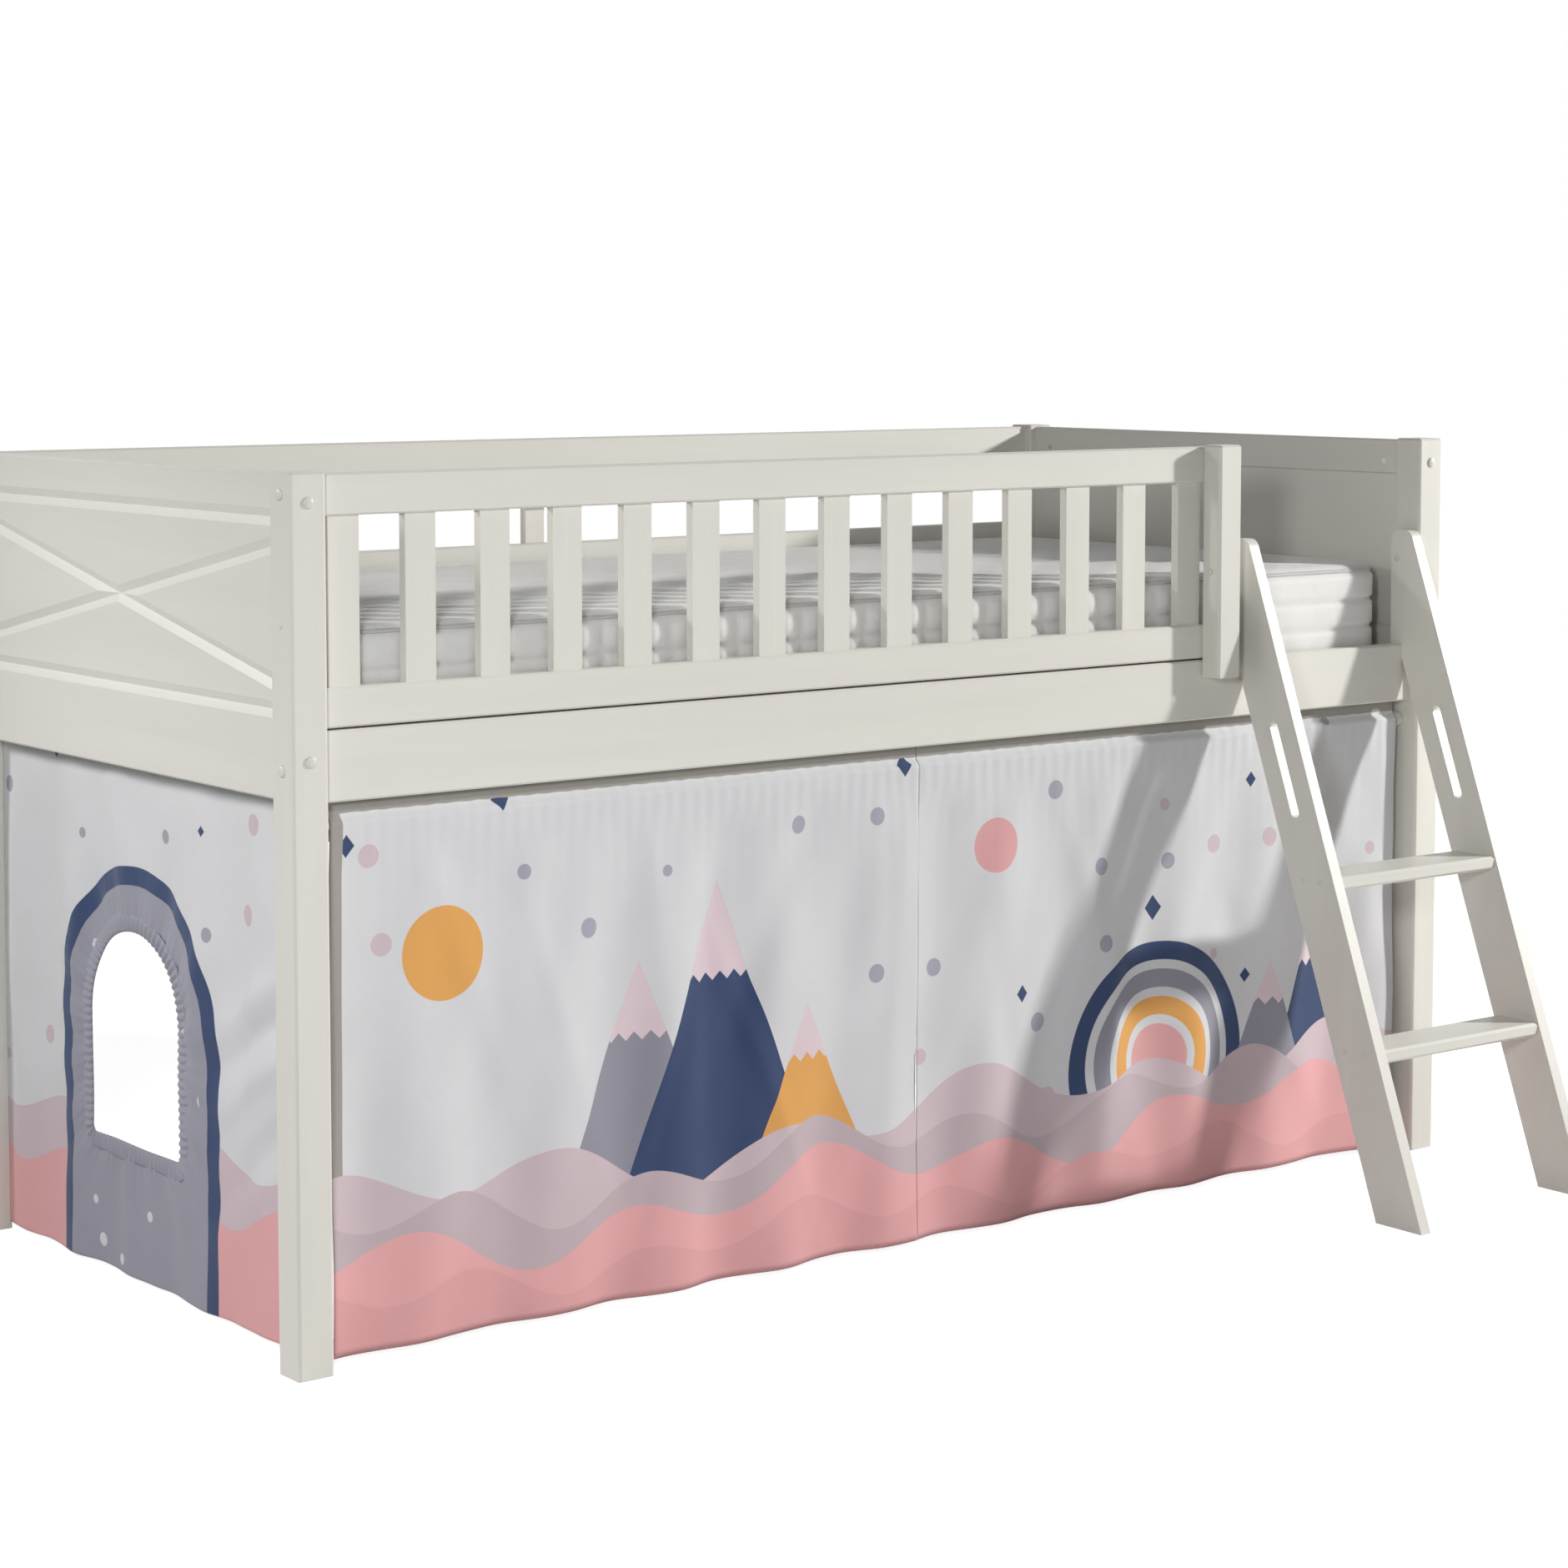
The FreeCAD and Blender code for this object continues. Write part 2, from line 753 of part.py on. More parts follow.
def front_curtain(left, right):
    """A front curtain: a sleeve round the rod and a folded sheet below it."""
    width = right - left
    sheet = folded_sheet(point(left, rod_y, hem_height), X, Y, width, rod_z - hem_height)
    tube = rod(point(left, rod_y, rod_z), X, sleeve_outer, width)
    bore = rod(point(left, rod_y, rod_z), X, sleeve_inner, width)
    return tube.fuse(sheet).cut(bore)


save("curtain_front_left", [front_curtain(front_curtain_left, curtain_split - split_gap / 2)])
save("curtain_front_right", [front_curtain(curtain_split + split_gap / 2, front_curtain_right)])


def window_cut(x):
    """The arched window opening, run through the cloth."""
    half = window_width / 2
    spring = window_bottom + window_height - half
    deep = x - 2 * fold_depth
    foot_a = point(deep, window_y - half, window_bottom)
    foot_b = point(deep, window_y + half, window_bottom)
    side_a = point(deep, window_y - half, spring)
    side_b = point(deep, window_y + half, spring)
    crown = point(deep, window_y, window_bottom + window_height)
    outline = Part.Wire(
        [
            Part.LineSegment(foot_a, foot_b).toShape(),
            Part.LineSegment(foot_b, side_b).toShape(),
            Part.Arc(side_b, crown, side_a).toShape(),
            Part.LineSegment(side_a, foot_a).toShape(),
        ]
    )
    return Part.Face(outline).extrude(X * (4 * fold_depth))


for side, face_x, inward in (("left", inner_left, X), ("right", inner_right, -X)):
    tape_x = min(face_x, face_x + inward.x * tape_thick)
    cloth_x = face_x + inward.x * (tape_thick + rod_clear + fold_depth + cloth / 2)
    begin = post_side + end_curtain_gap
    width = post_rear - end_curtain_gap - begin
    sheet = folded_sheet(point(cloth_x, begin, hem_height), Y, inward, width, end_curtain_top - hem_height)
    save("curtain_end_" + side, [sheet.cut(window_cut(cloth_x))])
    tape = block(
        point(tape_x, begin, tape_bottom),
        point(tape_x + tape_thick, begin + width, tape_bottom + tape_height),
    )
    save("curtain_tape_" + side, [tape])
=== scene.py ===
import math

import bmesh
import bpy
import numpy as np
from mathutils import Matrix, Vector


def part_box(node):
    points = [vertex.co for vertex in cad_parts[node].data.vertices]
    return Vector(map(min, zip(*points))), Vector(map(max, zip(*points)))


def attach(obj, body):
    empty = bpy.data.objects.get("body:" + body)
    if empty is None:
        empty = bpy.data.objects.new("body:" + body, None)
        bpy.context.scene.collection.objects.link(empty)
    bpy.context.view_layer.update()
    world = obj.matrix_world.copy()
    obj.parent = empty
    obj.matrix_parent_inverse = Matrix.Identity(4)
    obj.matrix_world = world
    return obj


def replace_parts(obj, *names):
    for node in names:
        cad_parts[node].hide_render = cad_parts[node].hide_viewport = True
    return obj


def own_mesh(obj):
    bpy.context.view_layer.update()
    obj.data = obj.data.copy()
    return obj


bl_info = {
    "name": "Mid sleeper bed",
    "version": (1, 0, 0),
    "blender": (4, 5, 0),
    "location": "View3D > Sidebar > Bed",
    "description": "Paint, curtains, mattress, caps and studio for a mid sleeper bed",
    "category": "Object",
}

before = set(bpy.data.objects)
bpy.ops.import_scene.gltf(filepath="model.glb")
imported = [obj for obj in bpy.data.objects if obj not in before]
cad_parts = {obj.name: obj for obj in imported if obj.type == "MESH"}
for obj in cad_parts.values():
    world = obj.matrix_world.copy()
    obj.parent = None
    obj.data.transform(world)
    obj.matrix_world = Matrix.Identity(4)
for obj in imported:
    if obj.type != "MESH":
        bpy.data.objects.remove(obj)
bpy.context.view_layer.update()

TURN = 2 * math.pi
QUARTER = math.pi / 2
TOUCH = 1e-6
SIDES = ("left", "right")
BED_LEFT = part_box("post_front_left")[0].x
BED_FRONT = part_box("post_front_left")[0].y
ROD_LOW, ROD_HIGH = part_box("curtain_rod")
ROD_Y = (ROD_LOW.y + ROD_HIGH.y) / 2
ROD_Z = (ROD_LOW.z + ROD_HIGH.z) / 2
ROD_RADIUS = (ROD_HIGH.z - ROD_LOW.z) / 2

# Nodes by finish, and by the axis that their grain follows
PAINTED = {
    "x": (
        "side_rail_front", "side_rail_rear", "rear_middle_board", "rear_top_board",
        "guard_top_rail", "guard_bottom_rail", "ladder_tread_lower", "ladder_tread_upper",
    ),
    "y": (
        "end_top_rail_left", "end_panel_left", "end_bottom_rail_left",
        "end_top_rail_right", "end_panel_right", "end_bottom_rail_right",
    ),
    "z": (
        "post_front_left", "post_front_right", "post_rear_left", "post_rear_right", "rear_upright",
        "guard_slats", "guard_end_post", "ladder_stile_left", "ladder_stile_right",
    ),
}
PINE = {"x": ("ledger_front", "ledger_rear", "dowels"), "y": ("base_slats",)}
STEEL = (
    "post_bolts", "barrel_nuts", "rear_upright_screws", "guard_post_screws",
    "ledger_screws", "ladder_screws",
)
# Turns that lay the pattern's X along a grain
GRAIN_TURNS = {"x": (0, 0, 0), "y": (0, 0, QUARTER), "z": (0, QUARTER, 0)}

# Finishes
FIGURE_STRETCH = (1.6, 26, 26)
LINES_STRETCH = (5, 210, 210)
SLUB_STRETCH = (60, 900, 60)
PAINT_LINES = 0.35
PAINT_FIGURE_RISE = 0.6
PINE_BANDS = 7.0
PINE_BAND_POWER = 1.8
PINE_LINES = 0.3
SLUB_RISE = 0.8
REVERSE_SHARE = 0.4
CLOTH_THREAD = 0.0011
TICKING_THREAD = 0.0030

# The print, in metres along and up the flat cloth; a tone is a colour's name and a share of it
PRINT_EDGE = 0.0012
HILL_SLOW_RATE = 0.381
HILL_SLOW_SHARE = 0.8
SNOW_LINE = 0.70
SNOW_JAG = 0.012
SPOT_RANDOMNESS = 0.72
SPOT_LEAST = 0.45
# Painted shade: above this height on a front curtain, and within this width of the bed's left side, the
# print gives way to a dark band that stands in for the shadow under the rail and beside the left post
RAIL_SHADE_HEIGHT = 0.7010
POST_SHADE_WIDTH = 0.0870
# Scattered spots: two tones, spacing, radius, share of the cells
FRONT_SPOTS = (("mauve", 1.05), ("grey", 1.35), 0.115, 0.017, 0.42)
FRONT_DIAMONDS = (("navy", 1), ("navy", 1), 0.235, 0.019, 0.55)
FRONT_DIAMOND_STRETCH = (1.0, 0.8, 1.0)
END_SPOTS = (("mauve", 1), ("grey", 1.25), 0.12, 0.016, 0.40)
END_DIAMONDS = (("navy", 1), ("navy", 1), 0.21, 0.015, 0.5)
# Discs: colour, middle, height, radius
ARCHES = (1.505, 0.205)
FRONT_DISCS = (
    ("orange", 0.235, 0.505, 0.062),
    ("pink", 1.175, 0.560, 0.040),
    ("navy", *ARCHES, 0.178),
    ("ground", *ARCHES, 0.150),
    ("grey", *ARCHES, 0.136),
    ("ground", *ARCHES, 0.108),
    ("orange", *ARCHES, 0.094),
    ("ground", *ARCHES, 0.066),
    ("pink", *ARCHES, 0.052),
)
# Peaks: colour, middle, half width, height above their foot
PEAK_FOOT = 0.10
PEAK_TIP = ("mauve", 1.25)
FRONT_PEAKS = (
    ("grey", 0.545, 0.150, 0.360),
    ("navy", 0.680, 0.175, 0.455),
    ("orange", 0.830, 0.125, 0.270),
    ("navy", 1.840, 0.130, 0.300),
    ("grey", 1.735, 0.095, 0.230),
)
# Hills from the far row to the near one: tone, level, rise, length of a wave, lead
FRONT_HILLS = (
    ("mauve", 1.05, 0.190, 0.030, 0.36, 0.4),
    ("mauve", 0.92, 0.160, 0.026, 0.29, 2.1),
    ("pink", 1.08, 0.115, 0.028, 0.33, 4.0),
    ("pink", 1.00, 0.060, 0.020, 0.27, 1.2),
)
END_HILLS = (
    ("mauve", 1.05, 0.205, 0.030, 0.36, 2.4),
    ("pink", 1.05, 0.130, 0.030, 0.31, 0.5),
)
# Arched surround of the end window: tone, half width
SURROUND = (("navy", 1, 0.222), ("grey", 1.12, 0.196))
SURROUND_SPRING = 0.352
SURROUND_SPOTS = (0.083, 0.013, 0.5)
SURROUND_SPOTS_HALF = 0.180
SURROUND_SPOTS_TOP = 0.50

# Caps: node, body, the node that they face away from, power of the sine that rounds them
CAPS = (
    ("bolt_caps", "frame", "base_slats", 0.9),
    ("ladder_screw_caps", "ladder", "ladder_tread_lower", 0.35),
    ("hole_plugs_frame", "frame", "base_slats", 0.35),
    ("hole_plug_ladder", "ladder", "base_slats", 0.35),
)
CAP_REACH = 0.02
CAP_SIDES = 28
CAP_RINGS = 9
CAP_RIM = 0.25

# Mattress
CROWN = 0.009
CROWN_SHARE = 0.6
EDGE_RADIUS = 0.013
CORNER_RADIUS = 0.08
PUFF_ROOM = 0.0025
BASE_SHARE = 0.03
OUTLINE_POINTS = 1060
PUFF_ROWS = 3
PUFF_POWER = 0.55
# Towards the ends the border has flat bands in place of puffs
BAND_FROM = 0.54
BAND_SHARE = 0.93
BAND_RISE = 0.6
PIPING_RADIUS = 0.0032
PIPING_SINK = 0.002
PIPING_PLACE = 0.75

# Hanging cloth
FOLDS = 5
FOLD_DRIFT = 0.35
PLEATS = (37, 23, 51)
PLEAT_DEPTH = 0.075
SLACK_RISE = 0.0022
CREASE_RISE = 0.0011
PULLS = 14
# Front curtains
FRONT_SEED = 11
FRONT_COLUMNS = 330
POCKET_EASE = 0.0022
SEAM_DROP = 0.012
CLOTH_LAP = 0.0013
HEM = 0.026
HEM_TURN = 0.001
HANG_OVER = 0.16
FALL_BACK = 1.35
POCKET_DROP = 0.014
PRINT_START = 0.025
# End curtains and their windows
END_SEED = 31
END_TOP = 0.05
WINDOW_WIDTH = 0.266
WINDOW_HEIGHT = 0.306
WINDOW_FOOT = 0.192
WINDOW_CENTRE = BED_FRONT + 0.524
WINDOW_CORNER = 0.022
WINDOW_EYE = 0.45
SHEET_ROWS = 64
SHEET_ROW_POWER = 1.15
# Folds that run out from a window: number round it, lead, rise, reach, distance where they are full
WINDOW_FOLDS = ((19, 1.1, 0.0026, 0.08, 0.02), (74, 0.0, 0.0012, 0.03, 0.012))
SWING_MORE = 2.4
SWING_AT = 0.20
# Slanting folds: height at the front edge, rise per metre to the rear, half width, depth
SWAGS = (
    (0.525, -0.55, 0.022, -0.0060),
    (0.475, -0.55, 0.020, 0.0080),
    (0.425, -0.60, 0.022, -0.0080),
    (0.340, -0.75, 0.030, 0.0085),
)
SWAG_AT = 0.12
EDGING_POINTS = 560
EDGING_PITCH = 0.0115
EDGING_HALF_WIDTH = 0.0125
EDGING_UNEVEN = 0.0008
EDGING_UNEVEN_WAVES = 7
EDGING_HALF_THICK = 0.0030
EDGING_GATHER = 0.0014
EDGING_SWAY = 0.0006
EDGING_FLAT_WIDTH = 0.03

# Lamps: name of the power setting, size, spread in degrees, colour, place, aim
LAMPS = (
    ("key", 0.3, 180, (1.0, 0.985, 0.96), (4.76, -2.84, 2.56), (0, -0.2, 0.6)),
    ("side", 0.5, 56, (1.0, 0.99, 0.97), (-3.0, 1.4, 2.1), (-1.04, 0.08, 0.60)),
    ("front", 0.45, 70, (1.0, 1.0, 1.0), (-3.1, -3.05, 1.75), (-0.75, -0.25, 0.65)),
)
FLOOR_HALF = 30
FLOOR_POINTS = 25
FLOOR_GLOW = 0.86
WHITE = (1, 1, 1, 1)
CAMERA_PLACE = (-3.2147, -4.107, 1.3257)
CAMERA_DOWN = 4.5
CAMERA_YAW = -37.693
CAMERA_SHIFT = -0.1179
SENSOR_WIDTH = 36.0
FAR_CLIP = 100.0


def colour(name, words, value):
    return bpy.props.FloatVectorProperty(
        name=name, description=words, subtype="COLOR", size=4, min=0, max=1, default=(*value, 1)
    )


def amount(name, words, value, unit="NONE"):
    return bpy.props.FloatProperty(name=name, description=words, default=value, min=0, unit=unit)


def length(name, words, value):
    return amount(name, words, value, "LENGTH")


def power(name, words, value):
    return amount(name, words, value, "POWER")


class BedWoodSettings(bpy.types.PropertyGroup):
    """Finish of the painted and bare wood and the small fittings."""

    paint: colour("Paint", "Satin paint on posts, rails, guard and ladder", (0.760, 0.745, 0.690))
    pine_light: colour("Pine, light", "Spring wood of the bare slats", (0.70, 0.50, 0.29))
    pine_dark: colour("Pine, dark", "Summer wood of the bare slats", (0.50, 0.30, 0.14))
    cap: colour("Caps", "Moulded caps and plugs", (0.715, 0.702, 0.655))
    steel: colour("Steel", "Zinc plate on bolts and screws", (0.58, 0.58, 0.59))
    webbing: colour("Webbing", "Straps between the slats", (0.60, 0.58, 0.52))
    hook_tape: colour("Hook tape", "Tape that holds the end curtains", (0.66, 0.66, 0.65))


class BedClothSettings(bpy.types.PropertyGroup):
    """Curtain cloth, its print and how it hangs."""

    ground: colour("Ground", "Cloth between the printed shapes", (0.720, 0.725, 0.750))
    pink: colour("Pink", "Near hills", (0.780, 0.402, 0.412))
    mauve: colour("Mauve", "Far hills and spots", (0.620, 0.510, 0.550))
    navy: colour("Navy", "Peaks and diamonds", (0.035, 0.062, 0.150))
    grey: colour("Grey", "Peaks, spots and the window's surround", (0.300, 0.300, 0.360))
    orange: colour("Orange", "Sun and small peaks", (0.800, 0.400, 0.110))
    # Painted shade rather than a real tape: the colour of the dark band along the top of a front
    # curtain and beside the left post, which stands in for the shadow of the rail and the post
    tape: colour("Heading tape", "Tape along the top of a front curtain", (0.355, 0.338, 0.310))
    fold: length("Fold", "Half depth of a main fold at the hem", 0.0068)
    gather: length("Gather", "Half depth of the small pleats at the top", 0.0002)
    tension: length("Tension", "Height of the slanting folds", 0.0026)
    thick: length("Thickness", "Thickness of the cloth", 0.0010)
    heading: length("Heading", "Cloth that stands above the rod pocket", 0.0210)
    end_hem: length("End hem", "Width past an end curtain's folds, towards the posts", 0.0110)
    end_swing: amount("End swing", "Share of the folds' height that the end curtains take", 0.45)
    side_hem: length("Side hem", "Width past a front curtain's folds, towards the post", 0.0168)
    meeting: length("Meeting", "Width past a front curtain's folds, towards the other", 0.0015)


class BedMattressSettings(bpy.types.PropertyGroup):
    """Ticking and quilting of the mattress."""

    ticking: colour("Ticking", "Woven mattress cover", (0.825, 0.823, 0.810))
    puff_pitch: length("Puff pitch", "Width of a puff on the side border", 0.056)
    puff_rise: length("Puff rise", "How far a puff stands out", 0.0075)
    quilt_pitch: length("Quilt pitch", "Spacing of the quilting on the top", 0.15)
    quilt_rise: length("Quilt rise", "How far the quilting stands up", 0.0022)


class BedStageSettings(bpy.types.PropertyGroup):
    """Floor, lamps and camera."""

    floor: colour("Floor", "Plain studio floor", (0.77, 0.77, 0.77))
    key: power("Key", "Power of the low lamp at the ladder end", 263)
    side: power("Side", "Power of the lamp over the left end", 4.5)
    front: power("Front", "Power of the lamp beside the camera", 9.4)
    sky: amount("Sky", "Strength of the even light all round", 0.10)
    lens: amount("Lens", "Focal length", 81.24, "CAMERA")


class Graph:
    """Places nodes in a tree and links them, so that a formula reads as a few calls."""

    def __init__(self, tree):
        self.tree = tree

    def node(self, kind, **settings):
        made = self.tree.nodes.new("ShaderNode" + kind)
        for name, value in settings.items():
            setattr(made, name, value)
        return made

    def feed(self, socket, value):
        if isinstance(value, bpy.types.NodeSocket):
            self.tree.links.new(value, socket)
        else:
            socket.default_value = value

    def fill(self, made, *values, **labelled):
        """Feeds a node's inputs in order or by label, with _ for a space, and gives its outputs."""
        for socket, value in zip(made.inputs, values):
            self.feed(socket, value)
        for label, value in labelled.items():
            self.feed(made.inputs[label.replace("_", " ")], value)
        return made.outputs

    def calc(self, operation, *values, clamp=False):
        return self.fill(self.node("Math", operation=operation, use_clamp=clamp), *values)[0]

    def plus(self, a, b):
        return self.calc("ADD", a, b)

    def minus(self, a, b):
        return self.calc("SUBTRACT", a, b)

    def times(self, a, b):
        return self.calc("MULTIPLY", a, b)

    def step(self, inside):
        """1 where inside is positive, 0 where it is negative, over a printed edge's width."""
        return self.calc("ADD", self.calc("DIVIDE", inside, PRINT_EDGE), 0.5, clamp=True)

    def mix(self, share, a, b, blend="MIX"):
        """Colour a where share is 0, and b or its blend with a where share is 1."""
        made = self.node("Mix", data_type="RGBA", blend_type=blend)
        for i, value in ((0, share), (6, a), (7, b)):
            self.feed(made.inputs[i], value)
        return made.outputs[2]

    def scaled(self, vector, scale):
        return self.fill(self.node("VectorMath", operation="MULTIPLY"), vector, scale)[0]

    def noise(self, vector, scale=1.0, detail=2.0):
        return self.fill(self.node("TexNoise"), Vector=vector, Scale=scale, Detail=detail)["Fac"]

    def between(self, value, low, high):
        """Carries a 0 to 1 value onto low to high."""
        return self.fill(self.node("MapRange"), Value=value, To_Min=low, To_Max=high)["Result"]

    def split(self, vector):
        return self.fill(self.node("SeparateXYZ"), vector)

    def use(self, group, *values):
        return self.fill(self.node("Group", node_tree=group), *values)


def shader_group(*outputs, **inputs):
    """Makes build, which gets a graph, the group's input sockets and some words and gives the values
    of its outputs, into a function that builds the group once and hands it back. Inputs are labels
    with defaults, a tuple for a vector."""

    def wrap(build):
        def ready(*words):
            name = " ".join((build.__name__.replace("_", " "), *words))
            tree = bpy.data.node_groups.get(name)
            if tree:
                return tree
            tree = bpy.data.node_groups.new(name, "ShaderNodeTree")
            for label, default in inputs.items():
                kind = "NodeSocketVector" if isinstance(default, tuple) else "NodeSocketFloat"
                socket = tree.interface.new_socket(label, in_out="INPUT", socket_type=kind)
                socket.default_value = default
            for label in outputs:
                tree.interface.new_socket(label, in_out="OUTPUT", socket_type="NodeSocketFloat")
            graph = Graph(tree)
            given = tree.nodes.new("NodeGroupInput").outputs[:len(inputs)]
            graph.fill(tree.nodes.new("NodeGroupOutput"), *build(graph, *given, *words))
            return tree

        return ready

    return wrap


@shader_group("Figure", "Lines", "Wear", Vector=(0, 0, 0))
def wood_grain(graph, where):
    """Grain along X: noise drawn out along the board, wide figure and fine lines, and even wear."""
    figure = graph.noise(graph.scaled(where, FIGURE_STRETCH), detail=3.0)
    lines = graph.noise(graph.scaled(where, LINES_STRETCH))
    return figure, lines, graph.noise(where, scale=7.0, detail=4.0)


@shader_group("Height", "Slub", Vector=(0, 0, 0), Thread=0.001)
def cloth_weave(graph, where, thread):
    """Crossing threads: the product of two sines, and slubs of uneven yarn."""
    turns = graph.calc("DIVIDE", TURN, thread)
    across, up, _ = graph.split(where)
    warp = graph.calc("SINE", graph.times(across, turns))
    weft = graph.calc("SINE", graph.times(up, turns))
    slub = graph.noise(graph.scaled(where, SLUB_STRETCH))
    return graph.between(graph.times(warp, weft), 0.5, 1.0), slub


@shader_group("Mask", Across=0, Up=0, Level=0.1, Rise=0.03, Length=0.3, Start=0)
def print_hills(graph, across, up, level, rise, span, start):
    """The space under a line of two added sines."""
    angle = graph.plus(graph.times(across, graph.calc("DIVIDE", TURN, span)), start)
    slow = graph.calc("SINE", graph.times(angle, HILL_SLOW_RATE))
    both = graph.plus(graph.calc("SINE", angle), graph.times(slow, HILL_SLOW_SHARE))
    line = graph.plus(level, graph.times(both, rise))
    return [graph.step(graph.minus(line, up))]


@shader_group("Mask", Across=0, Up=0, Middle=0.5, Height=0.3, Radius=0.05)
def print_disc(graph, across, up, middle, height, radius):
    """The space within a radius of a centre."""
    side = graph.minus(across, middle)
    rise = graph.minus(up, height)
    far = graph.calc("SQRT", graph.plus(graph.times(side, side), graph.times(rise, rise)))
    return [graph.step(graph.minus(radius, far))]


@shader_group("Mask", "Tip", Across=0, Up=0, Foot=0.1, Middle=0.5, Half=0.1, Height=0.3)
def print_peak(graph, across, up, foot, middle, half, height):
    """A triangle on a base line, and its pale tip above a jagged line at a share of its height."""
    side = graph.calc("ABSOLUTE", graph.minus(across, middle))
    line = graph.times(graph.minus(1.0, graph.calc("DIVIDE", side, half)), height)
    above = graph.minus(up, foot)
    mask = graph.step(graph.minus(line, above))
    jag = graph.calc("PINGPONG", across, SNOW_JAG)
    snow = graph.plus(graph.times(height, SNOW_LINE), jag)
    return mask, graph.times(mask, graph.step(graph.minus(above, snow)))


@shader_group("Mask", "Pick", Vector=(0, 0, 0), Spacing=0.1, Radius=0.01, Share=0.5)
def print_scatter(graph, where, spacing, radius, share, metric):
    """One spot in some cells of an uneven grid; the metric gives a dot or a diamond."""
    voronoi = graph.node("TexVoronoi", voronoi_dimensions="2D", distance=metric)
    scale = graph.calc("DIVIDE", 1.0, spacing)
    cells = graph.fill(voronoi, Vector=where, Scale=scale, Randomness=SPOT_RANDOMNESS)
    first, second, third = graph.split(cells["Color"])
    shown = graph.calc("LESS_THAN", first, share)
    far = graph.times(cells["Distance"], spacing)
    size = graph.times(radius, graph.between(second, SPOT_LEAST, 1.0))
    return graph.times(shown, graph.step(graph.minus(size, far))), third


class Finish(Graph):
    """A material with one Principled shader, and the coordinates that its pattern reads."""

    def __init__(self, name, **constants):
        self.material = bpy.data.materials.new(name)
        self.material.use_nodes = True
        super().__init__(self.material.node_tree)
        self.shader = self.tree.nodes["Principled BSDF"]
        self.fill(self.shader, **constants)

    def place(self, turn=(0, 0, 0)):
        """Object coordinates, turned so that a grain runs along the board."""
        where = self.node("TexCoord").outputs["Object"]
        return self.fill(self.node("Mapping"), Vector=where, Rotation=turn)[0]

    def flat(self):
        """The cloth's own flat coordinates, in metres."""
        return self.node("UVMap", uv_map="flat").outputs[0]

    def surface(self, base, wear, height, rough, depth, strength=1.0):
        """Feeds the shader a colour, a roughness that follows the wear, and a bump of some depth."""
        bump = self.fill(self.node("Bump"), Strength=strength, Distance=depth, Height=height)[0]
        wear = self.between(wear, *rough)
        self.fill(self.shader, Base_Color=base, Roughness=wear, Normal=bump)
        return self.material


def shade(value, share):
    """A colour made lighter or darker by a share."""
    return (*(min(1.0, part * share) for part in value[:3]), 1)


def shades(value, dark, light):
    """The darkest and lightest part of a finish."""
    return shade(value, dark), shade(value, light)


def dye(name, share=1.0):
    """A colour of the cloth made lighter or darker by a share."""
    return shade(getattr(bpy.context.scene.bed_cloth, name), share)


def painted_finish(axis):
    """Satin paint over planed wood: the grain telegraphs through as low lines."""
    dark, light = shades(bpy.context.scene.bed_wood.paint, dark=0.93, light=1.06)
    finish = Finish("paint_along_" + axis, IOR=1.5, Coat_Weight=0.06, Coat_Roughness=0.25)
    figure, lines, wear = finish.use(wood_grain(), finish.place(GRAIN_TURNS[axis]))
    base = finish.mix(figure, dark, light)
    base = finish.mix(finish.times(lines, PAINT_LINES), base, dark)
    height = finish.plus(lines, finish.times(figure, PAINT_FIGURE_RISE))
    return finish.surface(base, wear, height, rough=(0.34, 0.50), depth=0.0004, strength=0.35)


def pine_finish(axis):
    """Bare planed pine with light and dark bands along the board."""
    wood = bpy.context.scene.bed_wood
    finish = Finish("pine_along_" + axis)
    figure, lines, wear = finish.use(wood_grain(), finish.place(GRAIN_TURNS[axis]))
    bands = finish.calc("PINGPONG", finish.times(figure, PINE_BANDS), 1.0)
    bands = finish.calc("POWER", bands, PINE_BAND_POWER)
    base = finish.mix(bands, wood.pine_light, wood.pine_dark)
    base = finish.mix(finish.times(lines, PINE_LINES), base, wood.pine_light)
    return finish.surface(base, wear, lines, rough=(0.48, 0.66), depth=0.0005, strength=0.4)


def steel_finish():
    """Zinc plate, clouded as plating is."""
    finish = Finish("zinc_plate", Metallic=1.0)
    cloud = finish.noise(finish.place(), scale=140, detail=3.0)
    base = finish.mix(cloud, *shades(bpy.context.scene.bed_wood.steel, dark=0.85, light=1.0))
    return finish.surface(base, cloud, cloud, rough=(0.26, 0.44), depth=0.0001)


def moulded_finish(name, rough):
    """Moulded plastic or powder coat: a fine orange-peel and a slight mottle."""
    finish = Finish(name)
    peel = finish.noise(finish.place(), scale=900)
    mottle = finish.noise(finish.place(), scale=30)
    base = finish.mix(mottle, *shades(bpy.context.scene.bed_wood.cap, dark=0.97, light=1.02))
    return finish.surface(base, peel, peel, rough, depth=0.0001, strength=0.4)


def woven_finish(name, value, thread):
    """A plain woven strap or tape on object coordinates."""
    finish = Finish(name, Sheen_Weight=0.2)
    height, slub = finish.use(cloth_weave(), finish.place(), thread)
    # Painted shade: the colour darkens where the weave is low, in the hollows between the threads
    base = finish.mix(height, *shades(value, dark=0.78, light=1.0))
    return finish.surface(base, slub, height, rough=(0.75, 0.95), depth=0.0005)


